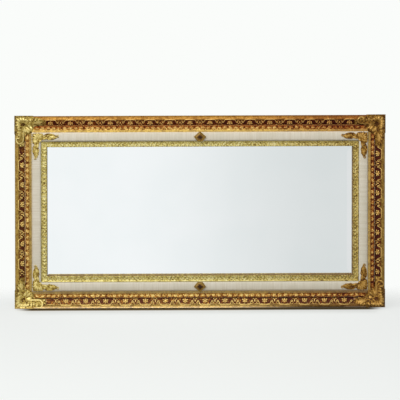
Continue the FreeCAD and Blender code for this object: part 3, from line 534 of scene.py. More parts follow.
# Leaf runs: narrow strips of pressed composition, glued into the inner bed of each rail. A ridge beside
# the thin fillet falls away towards the frieze, and a row of broad leaf tips is laid over its slope.
leaf_bed = ((38.5, 26.5), (50.0, 31.5))
leaf_pitch = 19.1
leaf_width, leaf_height = 16.0, 1.3
leaf_root_gap, leaf_tip_gap = 0.2, 1.4
leaf_relief = (-0.4, 1.6)
leaf_wash = (0.2, 0.5)
leaf_sheet = 1.0
ridge_crest, ridge_foot, ridge_rise = 1.0, 8.6, 6.8
leaf_lips = ((ridge_foot, ridge_rise, 0.05, ridge_crest), (2.2, 0.3, 0.6, 0.0))
leaf_chord = (Vector(leaf_bed[1]) - Vector(leaf_bed[0])).length
leaf_tip = model_petal("leaf_tip", 8, 6, root=0.95, tip=0.8, vein=0.25)
tip_place = petal_place((0, leaf_chord - leaf_root_gap), (0, leaf_tip_gap), leaf_width, leaf_height)
leaf_unit = gather("leaf_unit", [(leaf_tip, tip_place)])
mark_height(leaf_unit, *leaf_relief)
for point in leaf_unit.data.vertices:
    slope = (ridge_foot - point.co.y) / (ridge_foot - ridge_crest)
    point.co.z += leaf_sheet + ridge_rise * max(0.0, min(slope, point.co.y / ridge_crest))
for side in SIDES:
    length = node_length(f"{side}_leaf_run")
    strip = model_strip("leaf_sheet", length, leaf_chord, leaf_sheet, leaf_lips)
    mark_relief(strip, lambda place: leaf_wash[0] + (leaf_wash[1] - leaf_wash[0]) * place.y / leaf_chord)
    bed = bed_place(side, *leaf_bed)
    copies = [(strip, bed)]
    count = round(length / leaf_pitch)
    for number in range(count):
        spot = (number - (count - 1) / 2) * length / count
        copies.append((leaf_unit, bed @ Matrix.Translation((spot, 0, 0))))
    run = gather(f"{side}_leaf_carving", copies)
    dress(run, f"{side}_leaf_carving", f"{side}_leaf_run", composition)
    discard([strip])
discard([leaf_unit, leaf_tip])

# Frieze boards: four mitred pine boards with a slightly raised field, held in the rails' rebate by flat
# plates. Their front has cream paint, dragged across the board with a dry brush, and the back is bare.
board_middle = 0.074
board_half = 0.016
board_crown = 0.0026
# The axis across each board and its middle on that axis
board_lines = {
    "top": ("Z", frame_top - board_middle),
    "right": ("X", frame_half - board_middle),
    "bottom": ("Z", board_middle),
    "left": ("X", board_middle - frame_half),
}


def dragged_paint(name, across, middle):
    """Cream eggshell paint: satin and warm, with greyer streaks of the ground and faint clouds.

    The brush's streaks are really about 1.5 mm apart and are drawn at 4 mm, so that they show. The
    field is a little fuller in the middle.
    """
    streak_length, streak_width, cloud = 0.07, 0.004, 0.05
    material, tree, shader = new_material(name)
    place = add(tree, "TexCoord", {}, "Object")
    scale = [1 / (streak_length if axis == across else streak_width) for axis in "XYZ"]
    stretched = add(tree, "Mapping", {"Vector": place, "Scale": scale})
    streaks = add(tree, "TexNoise", {"Vector": stretched, "Scale": 1.0, "Detail": 4.0}, "Fac")
    clouds = add(tree, "TexNoise", {"Vector": place, "Scale": 1 / cloud, "Detail": 3.0}, "Fac")
    share = add(tree, "MapRange", {0: streaks, 1: 0.3, 2: 0.7})
    paint = add(tree, "Mix", {0: share, 6: colour("eae2d0"), 7: colour("ded4be")}, 2)
    share = add(tree, "MapRange", {0: clouds, 1: 0.35, 2: 0.75, 3: 0.0, 4: 0.5})
    paint = add(tree, "Mix", {0: share, 6: paint, 7: colour("d8d2bc")}, 2)
    pine = planed_pine(tree, "Z" if across == "X" else "X", "d2b184", "b48d5c")
    dragged = add(tree, "Bump", {"Height": streaks, "Strength": 0.3, "Distance": 0.0002})
    offset = add(tree, "SeparateXYZ", {0: place}, across)
    offset = add(tree, "Math", {0: offset, 1: middle}, operation="SUBTRACT")
    offset = add(tree, "Math", {0: offset, 1: board_half}, operation="DIVIDE")
    crown = add(tree, "Math", {0: offset, 1: offset}, operation="MULTIPLY")
    feed(shader, {
        "Base Color": add(tree, "Mix", {0: wall_side(tree), 6: paint, 7: pine}, 2),
        "Roughness": add(tree, "MapRange", {0: streaks, 1: 0.3, 2: 0.7, 3: 0.5, 4: 0.6}),
        "Normal": add(tree, "Bump", {"Height": crown, "Distance": board_crown, "Normal": dragged},
                      invert=True),
    })
    return material


for side, (across, middle) in board_lines.items():
    lay_finish(f"{side}_panel", dragged_paint(f"cream_paint_{side}", across, middle))

# Sight edges: four mitred lengths of small pine moulding, glued along the frieze boards and gilt. Small
# pressed leaves lie side by side in the hollow between its two edges, over the rebate of the plate.
sight_start, sight_end = 91.4, 109.8
sight_quirk, sight_peak = 90.0, 109.0
sight_front, sight_shoulder = 25.0, 18.0
sight_nose, sight_lip = 110.4, 111.2
sight_ground = 0.5
# The hollow's lowest height and, on each side, where it starts to rise, over what width and how far
cove_low = 27.0
cove_sides = ((98.0, 6.6, 4.6), (105.5, 5.0, 2.4))
sight_pitch = 12.6
sight_relief = (0.2, 1.8)
sight_leaf_width, sight_leaf_height = sight_pitch * 0.8, 1.8
sight_bead_width = 3.4
# How far aside and how far inwards the root and the tip of a leaf and of a bead lie, and a leaf's lean
sight_leaf_aside, sight_leaf_inward = (2.6, 2.4), (5.0, 2.0)
sight_bead_aside, sight_bead_inward = 1.5, (4.0, 2.0)
sight_lean = 2.0


def cove_height(inward):
    """Give the height of the sight edge's hollow face at a place inwards from the frame's edge."""
    (outer, outer_width, outer_rise), (inner, inner_width, inner_rise) = cove_sides
    height = cove_low + outer_rise * (max(0.0, outer - inward) / outer_width) ** 2
    return height + inner_rise * (max(0.0, inward - inner) / inner_width) ** 2


def merged_copy(node, name, place):
    """Copy a CAD node's mesh, merge its loose triangles and carry it back to its drawing."""
    copy = bpy.data.objects.new(name, nodes[node].data.copy())
    bpy.context.scene.collection.objects.link(copy)
    edit_all(copy)
    bpy.ops.mesh.remove_doubles(threshold=0.00001)
    bpy.ops.object.mode_set(mode="OBJECT")
    copy.data.transform(place.inverted())
    return copy


# Lemon gold: a pale, greenish leaf with silver in it, matt, with olive specks in the hollow
lemon, tree, shader = new_material("lemon_gilt")
relief = add(tree, "Attribute", {}, "Fac", attribute_name="relief")
gilding(tree, shader, relief, "f4eaae", "d6c46a", "80642a", polish=0.42, metal=0.3,
        speck=0.005, wear=0.32, glaze_and_shade=0.3)

small_leaf = model_petal("small_leaf", 8, 5, root=0.8, tip=0.75, vein=0.3)
small_bead = model_petal("small_bead", 6, 4, root=0.9, tip=0.9, vein=0.0)
wobble = random.Random(7)
for side in SIDES:
    bed = bed_place(side, (0, 0), (1, 0))
    moulding = merged_copy(f"{side}_sight_edge", "sight_moulding", bed)
    for point in moulding.data.vertices:
        if point.co.z > sight_front:
            share = (point.co.y - sight_quirk) / (sight_peak - sight_quirk)
            inward = sight_start + (sight_end - sight_start) * share
            along = point.co.x - math.copysign(inward - point.co.y, point.co.x)
            point.co = (along, inward, cove_height(inward))
        elif point.co.y > sight_nose:
            inward = sight_nose if point.co.z > sight_shoulder else sight_lip
            point.co.x += math.copysign(point.co.y - inward, point.co.x)
            point.co.y = inward
    bpy.ops.object.shade_smooth_by_angle(angle=math.radians(30))
    mark_relief(moulding, lambda place: sight_ground if place.z > sight_front else 0.0)
    length = node_length(f"{side}_sight_edge") - 2 * (sight_end - sight_start)
    count = round(length / sight_pitch)
    leaves = []
    for number in range(count):
        spot = (number - (count - 1) / 2) * (length / count)
        lean = wobble.uniform(-sight_lean, sight_lean)
        root = (spot - sight_leaf_aside[0], sight_end + sight_leaf_inward[0])
        tip = (spot + sight_leaf_aside[1] + lean, sight_start + sight_leaf_inward[1])
        leaves.append((small_leaf, petal_place(root, tip, sight_leaf_width, sight_leaf_height)))
        gap = spot + sight_pitch / 2
        root = (gap - sight_bead_aside, sight_end + sight_bead_inward[0])
        tip = (gap + sight_bead_aside, cove_sides[0][0] + sight_bead_inward[1])
        leaves.append((small_bead, petal_place(root, tip, sight_bead_width, sight_leaf_height)))
    carving = gather("sight_leaves", leaves)
    edit_all(carving)
    bpy.ops.mesh.bisect(plane_co=(0, sight_end, 0), plane_no=(0, 1, 0), use_fill=True, clear_outer=True)
    bpy.ops.object.mode_set(mode="OBJECT")
    mark_height(carving, *sight_relief)
    for point in carving.data.vertices:
        point.co.z += cove_height(point.co.y)
    edge = gather(f"{side}_sight_carving", [(moulding, bed), (carving, bed)])
    dress(edge, f"{side}_sight_carving", f"{side}_sight_edge", lemon)
    discard([moulding, carving])
discard([small_leaf, small_bead])

# Corner ornaments: one composition casting, glued over each mitre of the rails. A palmette fans out to
# the corner round an eye, a low boss painted dark as painted shade of a hollow, leaves point to the
# frieze, and of the arms along the rails one is a leaf and the other an open scroll.
CORNERS = {
    "top_left": ((-frame_half, back, frame_top), 0),
    "top_right": ((frame_half, back, frame_top), 90),
    "bottom_right": ((frame_half, back, 0), 180),
    "bottom_left": ((-frame_half, back, 0), 270),
}
corner_relief = (0.4, 3.4)
corner_sheet_share, corner_sheet_relief = 0.28, 0.34
corner_base = 0.6
bead_width, bead_foot = 12.5, 36.0
corner_section = [(12.5, 48.5), (34.5, 28.5), (38.5, 28.5), (50.0, 32.0), (58.0, 31.0)]


def corner_height(inward):
    """Give the height of the rail's face, with its beds filled, at a place inwards from the edge."""
    if inward <= bead_width:
        return bead_foot + math.sqrt(bead_width ** 2 - (bead_width - max(inward, 0.0)) ** 2)
    for (near, start), (far, end) in zip(corner_section, corner_section[1:]):
        if inward <= far:
            return start + (end - start) * (inward - near) / (far - near)
    return corner_section[-1][1]


def drape(piece, height):
    """Lay a flat drawing in millimetres (across, down, rise) over the upper left corner."""
    for point in piece.data.vertices:
        across, down, rise = point.co
        point.co = (across, -height(min(across, down)) - rise, -down)
    piece.data.update()
    edit_all(piece)
    bpy.ops.mesh.normals_make_consistent(inside=False)
    bpy.ops.object.mode_set(mode="OBJECT")


def corner_place(corner):
    """Carry a drawing in millimetres of the upper left corner to any corner."""
    middle, angle = CORNERS[corner]
    return (Matrix.Translation(middle) @ Matrix.Rotation(math.radians(angle), 4, "Y")
            @ Matrix.Scale(millimetre, 4))


def sunk_sheet(node, name, height, share, relief):
    """Copy a casting's CAD body, lower its top to a share of its rise and mark it as ground."""
    sheet = merged_copy(node, name, corner_place("top_left"))
    for point in sheet.data.vertices:
        inward = min(point.co.x, -point.co.z)
        rise = -point.co.y - height(inward)
        if rise > 0 and inward > 0:
            point.co.y = -height(inward) - rise * share
    mark_relief(sheet, lambda place: relief)
    return sheet


def fan(middle, toward, spread, lengths, width, height, start):
    """Give petals that fan out from a point: lengths run from the middle ray to the outer ones."""
    places = []
    for number, length in enumerate(lengths):
        for sign in ((1,) if number == 0 else (-1, 1)):
            angle = math.radians(toward + sign * number * spread)
            ray = Vector((math.cos(angle), math.sin(angle)))
            root, tip = middle + ray * start, middle + ray * length
            places.append(petal_place(root, tip, width, height, corner_base))
    return places


lobe = model_petal("lobe", 12, 8, root=0.8, tip=0.7, vein=0.22)
swap_arms = Matrix(((0, 1, 0, 0), (1, 0, 0, 0), (0, 0, 1, 0), (0, 0, 0, 1)))
hub = Vector((29.0, 29.0))
painted_shade_eye_base, painted_shade_eye_size = 1.4, (8.0, 7.0, 0.8)
# Each fan: its direction and spread in degrees, its petals' reach, their width, height and start
palmette = (225, 24, (36, 32.4, 29, 27), 9.5, 3.6, 7.0)
inner_leaves = (45, 30, (38, 32), 9.5, 3.4, 8.0)
corner_lobes = fan(hub, *palmette) + fan(hub, *inner_leaves)
# The arms' leaves: root, tip, width and height
leaf_arm_lobes = [
    ((48, 26), (40, 7), 8.0, 3.4),
    ((57, 23), (52, 5), 7.0, 3.2),
    ((54, 24), (100, 21), 13.0, 3.8),
    ((62, 20), (78, 7), 6.0, 3.0),
    ((74, 19), (88, 10), 5.0, 2.8),
    ((46, 36), (64, 46), 8.0, 3.0),
    ((56, 33), (78, 38), 7.0, 3.0),
    ((76, 32), (96, 31), 5.0, 2.8),
]
scroll_arm_lobes = [
    ((48, 27), (42, 7), 8.0, 3.4),
    ((58, 26), (54, 5), 7.5, 3.4),
    ((66, 26), (64, 9), 6.0, 3.2),
    ((44, 38), (62, 48), 8.0, 3.0),
    ((60, 34), (78, 40), 6.0, 3.0),
    ((92, 28), (107, 30), 6.0, 3.0),
    ((96, 20), (107, 20), 5.5, 3.0),
]
stem_wire, stem_start, stem_floor = 2.6, (46, 30, 1.6), 0.2
stem_steps = [(36.0, 0), (12.5, -190), (6.5, -130)]
stem, _ = model_scroll("corner_scroll", stem_wire, stem_start, stem_steps)
for point in stem.data.vertices:
    point.co.z = max(stem_floor, point.co.z)
leaf_arm = gather("leaf_arm", [(lobe, petal_place(*spot, corner_base)) for spot in leaf_arm_lobes])
scroll_arm = gather("scroll_arm", [(lobe, petal_place(*spot, corner_base)) for spot in scroll_arm_lobes]
                    + [(stem, Matrix())])
ornament = gather("corner_leaf", [(lobe, place) for place in corner_lobes]
                  + [(leaf_arm, Matrix()), (scroll_arm, swap_arms)])
mark_height(ornament, *corner_relief)
drape(ornament, corner_height)
# painted shade: a low boss at the hub, marked as sunk ground so that it takes the darkest colour
painted_shade_eye = gather("corner_recess", [(button, button_place(hub, painted_shade_eye_base, painted_shade_eye_size))])
mark_relief(painted_shade_eye, lambda place: 0.0)
drape(painted_shade_eye, corner_height)

sheet = sunk_sheet("top_left_corner_ornament", "corner_sheet", corner_height,
                   corner_sheet_share, corner_sheet_relief)

# Antique gold: pale yellow on the crests, rubbed to olive brown below, with dark wash in the cuts
antique, tree, shader = new_material("antique_gilt")
relief = add(tree, "Attribute", {}, "Fac", attribute_name="relief")
gilding(tree, shader, relief, "f0dc8e", "bea24a", "62400f", polish=0.42, metal=0.45,
        speck=0.005, wear=0.36, glaze_and_shade=0.8)

corner_master = gather("corner_master", [(piece, Matrix()) for piece in (sheet, ornament, painted_shade_eye)])
select_only([corner_master])
bpy.ops.object.shade_smooth_by_angle(angle=math.radians(40))
for corner in CORNERS:
    piece = gather(f"{corner}_corner_casting", [(corner_master, corner_place(corner))])
    dress(piece, f"{corner}_corner_casting", f"{corner}_corner_ornament", antique)
discard([sheet, ornament, painted_shade_eye, leaf_arm, scroll_arm, stem, corner_master])

# Corner sprays: thin composition castings, glued to the corners of the frieze and gilt as the corner
# ornaments are. A ribbed fan fills the corner, and a leaf along each board ends in a small curl.
panel_face = 34.0
spray_relief = (0.2, 3.8)
spray_sheet_share, spray_sheet_relief = 0.4, 0.36
spray_hub = Vector((87.0, 87.0))
spray_fan = (225, 18, (36, 33, 30, 27), 7.5, 3.4, 4.0)
spray_button = (4.0, 4.0, 4.2)
spray_lobes = fan(spray_hub, *spray_fan)
leaf_lobes = [
    ((88, 83), (118, 75), 9.0, 3.8),
    ((108, 75), (149, 73), 12.5, 3.4),
    ((100, 77), (104, 65), 6.0, 3.0),
    ((112, 72), (120, 64), 6.0, 3.0),
    ((112, 79), (121, 84), 5.0, 2.8),
    ((128, 77), (136, 82), 5.0, 2.6),
]
curl_wire, curl_start, curl_steps = 1.5, (140, 74, 1.4), [(7.0, 0), (3.4, -250)]
curl, _ = model_scroll("spray_curl", curl_wire, curl_start, curl_steps)
spray_arm = gather("spray_arm", [(lobe, petal_place(*spot)) for spot in leaf_lobes] + [(curl, Matrix())])
spray_boss = button_place(spray_hub, 0.0, spray_button)
spray = gather("spray_leaves", [(lobe, place) for place in spray_lobes]
               + [(spray_arm, Matrix()), (spray_arm, swap_arms), (button, spray_boss)])
mark_height(spray, *spray_relief)
drape(spray, lambda inward: panel_face)
spray_sheet = sunk_sheet("top_left_corner_spray", "spray_sheet", lambda inward: panel_face,
                         spray_sheet_share, spray_sheet_relief)
spray_master = gather("spray_master", [(spray_sheet, Matrix()), (spray, Matrix())])
for corner in CORNERS:
    piece = gather(f"{corner}_spray_casting", [(spray_master, corner_place(corner))])
    dress(piece, f"{corner}_spray_casting", f"{corner}_corner_spray", antique)
discard([spray_arm, curl, spray, spray_sheet, spray_master])

# Centre ornaments: composition castings in the shape of a lozenge with its inner tip cut flat, glued to
# the middle of the upper and lower frieze. A sunk border runs round a boss with four small leaves.
lozenge_half_length, lozenge_half_width, lozenge_flat = 21.0, 19.0, 16.0
lozenge_cap, lozenge_crown = 4.5, 8.0
lozenge_edge, lozenge_edge_rise = 1.4, 1.0
lozenge_border, lozenge_border_sink = 1.6, 1.8
lozenge_boss, lozenge_boss_share = 4.4, 0.3
lozenge_leaf, lozenge_leaf_width, lozenge_leaf_height, lozenge_leaf_sink = 4.0, 3.0, 1.6, 1.4
lozenge_middle = 74.0

# Bronze gold: a dark, brownish leaf, deeper still on the boss, where the wash was left thick
bronze, tree, shader = new_material("bronze_gilt")
relief = add(tree, "Attribute", {}, "Fac", attribute_name="relief")
gilding(tree, shader, relief, "a0813e", "744e22", "2e1a08", polish=0.45, metal=0.35)

for side in ("top", "bottom"):
    bpy.ops.object.select_all(action="DESELECT")
    bpy.ops.mesh.primitive_circle_add(vertices=4, radius=1, fill_type="NGON")
    lozenge = bpy.context.active_object
    edit_all(lozenge)
    bpy.ops.transform.resize(value=(lozenge_half_length, lozenge_half_width, 1), center_override=origin)
    pick(lambda place: place.y > lozenge_half_width / 2)
    bpy.ops.transform.translate(value=(0, lozenge_flat / 2, 0))
    bpy.ops.mesh.select_all(action="SELECT")
    bpy.ops.mesh.bisect(plane_co=(0, lozenge_flat, 0), plane_no=(0, 1, 0), clear_outer=True)
    bpy.ops.mesh.select_all(action="SELECT")
    bpy.ops.mesh.extrude_region_move(TRANSFORM_OT_translate={"value": (0, 0, lozenge_cap)})
    bpy.ops.mesh.inset(thickness=lozenge_edge, depth=lozenge_edge_rise)
    bpy.ops.mesh.inset(thickness=lozenge_border, depth=-lozenge_border_sink)
    bpy.ops.mesh.extrude_region_move(TRANSFORM_OT_translate={"value": (0, 0, lozenge_boss)})
    bpy.ops.transform.resize(value=(lozenge_boss_share, lozenge_boss_share, 1), center_override=origin)
    bpy.ops.object.mode_set(mode="OBJECT")
    copies = [(lozenge, Matrix())]
    for angle in (0, math.pi / 2, math.pi, -math.pi / 2):
        tip = (lozenge_leaf * math.cos(angle), lozenge_leaf * math.sin(angle))
        copies.append((lobe, petal_place((0, 0), tip, lozenge_leaf_width, lozenge_leaf_height,
                                         lozenge_crown - lozenge_leaf_sink)))
    boss = gather("lozenge", copies)
    mark_height(boss, lozenge_crown, lozenge_cap)
    place = bed_place(side, (lozenge_middle, panel_face), (lozenge_middle + 1.0, panel_face))
    piece = gather(f"{side}_centre_casting", [(boss, place)])
    select_only([piece])
    bpy.ops.object.shade_smooth_by_angle(angle=math.radians(25))
    dress(piece, f"{side}_centre_casting", f"{side}_centre_ornament", bronze)
    discard([lozenge, boss])
discard([petal, button, lobe])

# Mirror plate: one bevelled sheet of float glass, silvered behind and sealed with grey paint. It lies
# behind the sight edges on cork blocks. The eye sees the silver, so the front is a faintly cool mirror.
wave = 0.2
silver, tree, shader = new_material("silvered_glass")
facing = add(tree, "SeparateXYZ", {0: add(tree, "NewGeometry", {}, "Normal")}, "Y")
place = add(tree, "TexCoord", {}, "Object")
waves = add(tree, "TexNoise", {"Vector": place, "Scale": 1 / wave, "Detail": 2.0}, "Fac")
waves = add(tree, "MapRange", {0: waves, 1: 0.3, 2: 0.7})
sealed = add(tree, "MapRange", {0: facing, 1: 0.3, 2: 0.6})
plate = add(tree, "Mix", {0: waves, 6: colour("f9fafa"), 7: colour("f6f8f8")}, 2)
feed(shader, {
    "Base Color": add(tree, "Mix", {0: sealed, 6: plate, 7: colour("6a6f70")}, 2),
    "Metallic": add(tree, "MapRange", {0: facing, 1: 0.3, 2: 0.6, 3: 1.0, 4: 0.0}),
    "Roughness": add(tree, "MapRange", {0: facing, 1: 0.3, 2: 0.6, 3: 0.015, 4: 0.6}),
})
lay_finish("mirror_glass", silver)

# Setting blocks: small blocks of pressed cork, glued into the rebate to centre the plate. Cork is matt
# and mottled, with grains of about 2 mm.
cork_grain = 0.002
cork, tree, shader = new_material("pressed_cork")
place = add(tree, "TexCoord", {}, "Object")
grains = add(tree, "TexVoronoi", {"Vector": place, "Scale": 1 / cork_grain}, "Distance")
grains = add(tree, "MapRange", {0: grains, 1: 0.1, 2: 0.7})
feed(shader, {
    "Base Color": add(tree, "Mix", {0: grains, 6: colour("b98c5a"), 7: colour("6e4a2a")}, 2),
    "Roughness": 0.9,
})
lay_finish("setting_blocks", cork)

# Backing board: a sheet of pressed hardboard that closes the back, held by glazing points. It is brown
# and nearly matt, with felted fibres, drawn at 4 mm so that they show, and cloudy patches.
fibre, patch = 0.004, 0.09
hardboard, tree, shader = new_material("tempered_hardboard")
place = add(tree, "TexCoord", {}, "Object")
fibres = add(tree, "TexNoise", {"Vector": place, "Scale": 1 / fibre, "Detail": 6.0}, "Fac")
clouds = add(tree, "TexNoise", {"Vector": place, "Scale": 1 / patch, "Detail": 3.0}, "Fac")
share = add(tree, "MapRange", {0: fibres, 1: 0.3, 2: 0.7})
board = add(tree, "Mix", {0: share, 6: colour("6b4a2e"), 7: colour("8a6240")}, 2)
share = add(tree, "MapRange", {0: clouds, 1: 0.3, 2: 0.7, 3: 0.0, 4: 0.5})
feed(shader, {
    "Base Color": add(tree, "Mix", {0: share, 6: board, 7: colour("5d3f27")}, 2),
    "Roughness": add(tree, "MapRange", {0: fibres, 1: 0.3, 2: 0.7, 3: 0.55, 4: 0.7}),
    "Normal": add(tree, "Bump", {"Height": fibres, "Strength": 0.4, "Distance": 0.0003}),
})
lay_finish("backing_board", hardboard)

# Plates, points, screws and ring hangers: stamped and bent steel with a bright zinc coat, screwed or
# driven into the back. Zinc shows as a grey metal with small spangles and a few duller patches.
spangle_size, tarnish = 0.004, 0.008
zinc, tree, shader = new_material("zinc_plated_steel")
place = add(tree, "TexCoord", {}, "Object")
spangle = add(tree, "TexVoronoi", {"Vector": place, "Scale": 1 / spangle_size}, "Color")
dull = add(tree, "TexNoise", {"Vector": place, "Scale": 1 / tarnish, "Detail": 4.0}, "Fac")
steel = add(tree, "Mix", {0: 0.12, 6: colour("b9bcbb"), 7: spangle}, 2)
share = add(tree, "MapRange", {0: dull, 1: 0.45, 2: 0.75, 3: 0.0, 4: 0.6})
feed(shader, {
    "Base Color": add(tree, "Mix", {0: share, 6: steel, 7: colour("86857f")}, 2),
    "Metallic": 0.95,
    "Roughness": add(tree, "MapRange", {0: dull, 1: 0.3, 2: 0.7, 3: 0.3, 4: 0.48}),
})
for node in ("glazing_points", "corner_plates", "liner_plates", "plate_screws", "hanger_screws"):
    lay_finish(node, zinc)
for side in ("left", "right"):
    lay_finish(f"{side}_hanger_strap", zinc)
    lay_finish(f"{side}_hanger_ring", zinc)

# Wall bumpers: moulded black rubber studs, pushed into the lower back to keep it off the wall. The
# rubber is matt, with a faint grey bloom.
bloom_size = 0.003
rubber, tree, shader = new_material("black_rubber")
place = add(tree, "TexCoord", {}, "Object")
bloom = add(tree, "TexNoise", {"Vector": place, "Scale": 1 / bloom_size, "Detail": 4.0}, "Fac")
share = add(tree, "MapRange", {0: bloom, 1: 0.3, 2: 0.7})
feed(shader, {
    "Base Color": add(tree, "Mix", {0: share, 6: colour("1b1b1c"), 7: colour("2b2b2b")}, 2),
    "Roughness": add(tree, "MapRange", {0: bloom, 1: 0.3, 2: 0.7, 3: 0.65, 4: 0.8}),
})
lay_finish("wall_bumpers", rubber)

# Studio floor: matt white paper that fades into the backdrop behind the part. It glows a little, as
# paper under soft light from all sides does, and carries a painted shadow that darkens it towards the
# foot of the part.
floor_size = 6.0
floor_gap = 0.005
floor_height = cad_low.z - floor_gap
# Where the floor's painted shadow falls, from the front backwards and at the ends of the foot, and
# where it fades
contact, shading, fading = (-0.034, -0.016), (-0.14, -0.03), (0.05, 0.52)
foot_end = 0.06


def hide_from(piece, rays):
    """Keep a piece of the studio out of some kinds of light rays."""
    for ray in rays:
        setattr(piece, f"visible_{ray}", False)


bpy.ops.object.select_all(action="DESELECT")
bpy.ops.mesh.primitive_plane_add(size=floor_size, location=(0, 0, floor_height))
floor = bpy.context.active_object
floor.name = "studio_floor"
hide_from(floor, ("diffuse", "glossy"))
paper, tree, shader = new_material("pale_floor")
place = add(tree, "SeparateXYZ", {0: add(tree, "TexCoord", {}, "Object")}).node.outputs
aside = add(tree, "Math", {0: place["X"]}, operation="ABSOLUTE")
inside = add(tree, "MapRange", {0: aside, 1: frame_half - foot_end, 2: frame_half, 3: 1.0, 4: 0.0})
# painted shadow: dark and brown under the foot of the part, with a paler shade farther in front
painted_contact_shadow = add(tree, "MapRange", {0: place["Y"], 1: contact[0], 2: contact[1]})
painted_contact_shadow = add(tree, "Math", {0: painted_contact_shadow, 1: inside}, operation="MULTIPLY")
near = add(tree, "MapRange", {0: place["Y"], 1: shading[0], 2: shading[1]})
near = add(tree, "Math", {0: near, 1: inside}, operation="MULTIPLY")
lit = add(tree, "Mix", {0: near, 6: colour("d7d9d8"), 7: colour("c6c8c6")}, 2)
feed(shader, {
    "Base Color": add(tree, "Mix", {0: painted_contact_shadow, 6: colour("7c7e7c"), 7: colour("6e6348")}, 2),
    "Emission Color": add(tree, "Mix", {0: painted_contact_shadow, 6: lit, 7: colour("2a251a")}, 2),
    "Emission Strength": 1.0,
    "Roughness": 0.7,
    "Specular IOR Level": 0.0,
})
fade = add(tree, "MapRange", {0: place["Y"], 1: fading[0], 2: fading[1]})
clear = add(tree, "BsdfTransparent", {})
faded = add(tree, "MixShader", {0: fade, 1: shader.outputs[0], 2: clear})
feed(tree.nodes["Material Output"], {"Surface": faded})
floor.data.materials.append(paper)

# Studio room and backdrop: the room that the gold reflects is grey, paler at the sides and white behind
# the part. The camera sees the inside of a white dome instead of it, from every side.
dome_radius = 8
white = colour("fafcfa")
world = bpy.data.worlds.new("studio")
bpy.context.scene.world = world
world.use_nodes = True
tree = world.node_tree
way = add(tree, "SeparateXYZ", {0: add(tree, "TexCoord", {}, "Generated")}).node.outputs
above = add(tree, "MapRange", {0: way["Z"], 1: -0.2, 2: 0.9})
room = add(tree, "Mix", {0: above, 6: colour("94938f"), 7: colour("7a7976")}, 2)
aside = add(tree, "Math", {0: way["X"]}, operation="ABSOLUTE")
aside = add(tree, "MapRange", {0: aside, 1: 0.5, 2: 0.95})
room = add(tree, "Mix", {0: aside, 6: room, 7: colour("c2c1bd")}, 2)
behind = add(tree, "MapRange", {0: way["Y"], 1: 0.8, 2: 0.95})
room = add(tree, "Mix", {0: behind, 6: room, 7: white}, 2)
feed(tree.nodes["Background"], {"Color": room})

bpy.ops.object.select_all(action="DESELECT")
bpy.ops.mesh.primitive_uv_sphere_add(segments=48, ring_count=24, radius=dome_radius)
backdrop = bpy.context.active_object
backdrop.name = "studio_backdrop"
hide_from(backdrop, ("diffuse", "glossy", "shadow", "transmission"))
cloth, tree, _ = new_material("white_backdrop")
glow = add(tree, "Emission", {"Color": white, "Strength": 1.0})
clear = add(tree, "BsdfTransparent", {})
within = add(tree, "NewGeometry", {}, "Backfacing")
one_way = add(tree, "MixShader", {0: within, 1: clear, 2: glow})
feed(tree.nodes["Material Output"], {"Surface": one_way})
backdrop.data.materials.append(cloth)

# Studio light: one large soft box, hung high in front of the part and a little to its left, that gives
# the gold its soft highlights and the carving its shade.
light_place, light_aim = Vector((-1.0, -2.6, 3.1)), Vector((0, 0, 0.3))
light_width, light_depth, light_power = 3.2, 2.4, 120
bpy.ops.object.select_all(action="DESELECT")
bpy.ops.object.light_add(type="AREA", location=light_place)
overhead = bpy.context.active_object
overhead.data.shape = "RECTANGLE"
overhead.data.size = light_width
overhead.data.size_y = light_depth
overhead.data.energy = light_power
overhead.rotation_euler = (light_aim - light_place).to_track_quat("-Z", "Y").to_euler()

# Studio cards: a card in front, which the plate reflects, shades from pale on the left to grey on the
# right, and a strip at the foot brightens the lower edge of the bead. The camera doesn't see them.
card_place, card_tilt, card_size, card_strength = (0, -0.6, 0.22), math.pi / 2, (1.44, 0.84, 1), 1.0
apron_gap, apron_tilt, apron_size, apron_strength = 0.001, 0.0, (1.2, 0.02, 1), 3.4
apron_place = (-0.1, -0.021, floor_height + apron_gap)


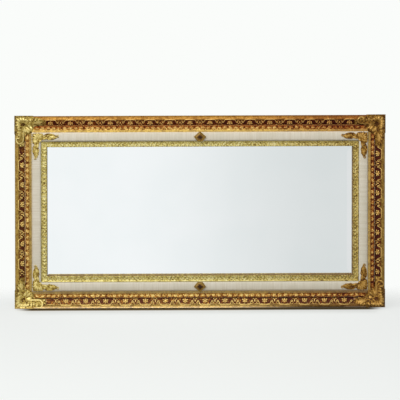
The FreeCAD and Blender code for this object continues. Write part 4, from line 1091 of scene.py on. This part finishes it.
def glowing_card(name, finish, place, tilt, size, strength, first, shades):
    """Set up a card that glows in one colour, and in others past shares of its length."""
    bpy.ops.object.select_all(action="DESELECT")
    bpy.ops.mesh.primitive_plane_add(size=1, location=place, rotation=(tilt, 0, 0))
    card = bpy.context.active_object
    card.name = name
    card.scale = size
    hide_from(card, ("camera", "diffuse", "shadow", "transmission"))
    material, tree, _ = new_material(finish)
    along = add(tree, "SeparateXYZ", {0: add(tree, "TexCoord", {}, "Object")}, "X")
    shade = colour(first)
    for low, high, code in shades:
        share = add(tree, "MapRange", {0: along, 1: low, 2: high})
        shade = add(tree, "Mix", {0: share, 6: shade, 7: colour(code)}, 2)
    glow = add(tree, "Emission", {"Color": shade, "Strength": strength})
    feed(tree.nodes["Material Output"], {"Surface": glow})
    card.data.materials.append(material)


glowing_card("studio_reflector", "reflector_glow", card_place, card_tilt, card_size, card_strength,
             "f8fbfc", [(-0.2, 0.36, "dee2e2"), (0.36, 0.48, "e4e6e6")])
glowing_card("studio_apron", "apron_glow", apron_place, apron_tilt, apron_size, apron_strength,
             "fff8e6", [(0.1, 0.42, "000000")])

# Camera: far off with a long lens, about 9 degrees above square and 1.5 degrees to its left, framed as a
# square picture whose middle lies a little above the part's.
picture_pixels = 400
picture_width = 1.3812
centre_pixel_up = -11.8
camera_distance = 40.0
camera_elevation = math.radians(9)
camera_azimuth = math.radians(-1.5)
target = Vector((0, -0.014, frame_top / 2))
away = Vector((math.sin(camera_azimuth) * math.cos(camera_elevation),
               -math.cos(camera_azimuth) * math.cos(camera_elevation), math.sin(camera_elevation)))
bpy.ops.object.camera_add()
camera = bpy.context.active_object
camera.rotation_mode = "QUATERNION"
camera.rotation_quaternion = (-away).to_track_quat("-Z", "Y")
upward = camera.rotation_quaternion @ Vector((0, 1, 0))
lowered = upward * centre_pixel_up * picture_width / picture_pixels
camera.location = target + away * camera_distance - lowered
camera.data.lens = camera.data.sensor_width * camera_distance / picture_width
camera.data.clip_end = 100
bpy.context.scene.camera = camera
bpy.context.scene.view_settings.view_transform = "Standard"
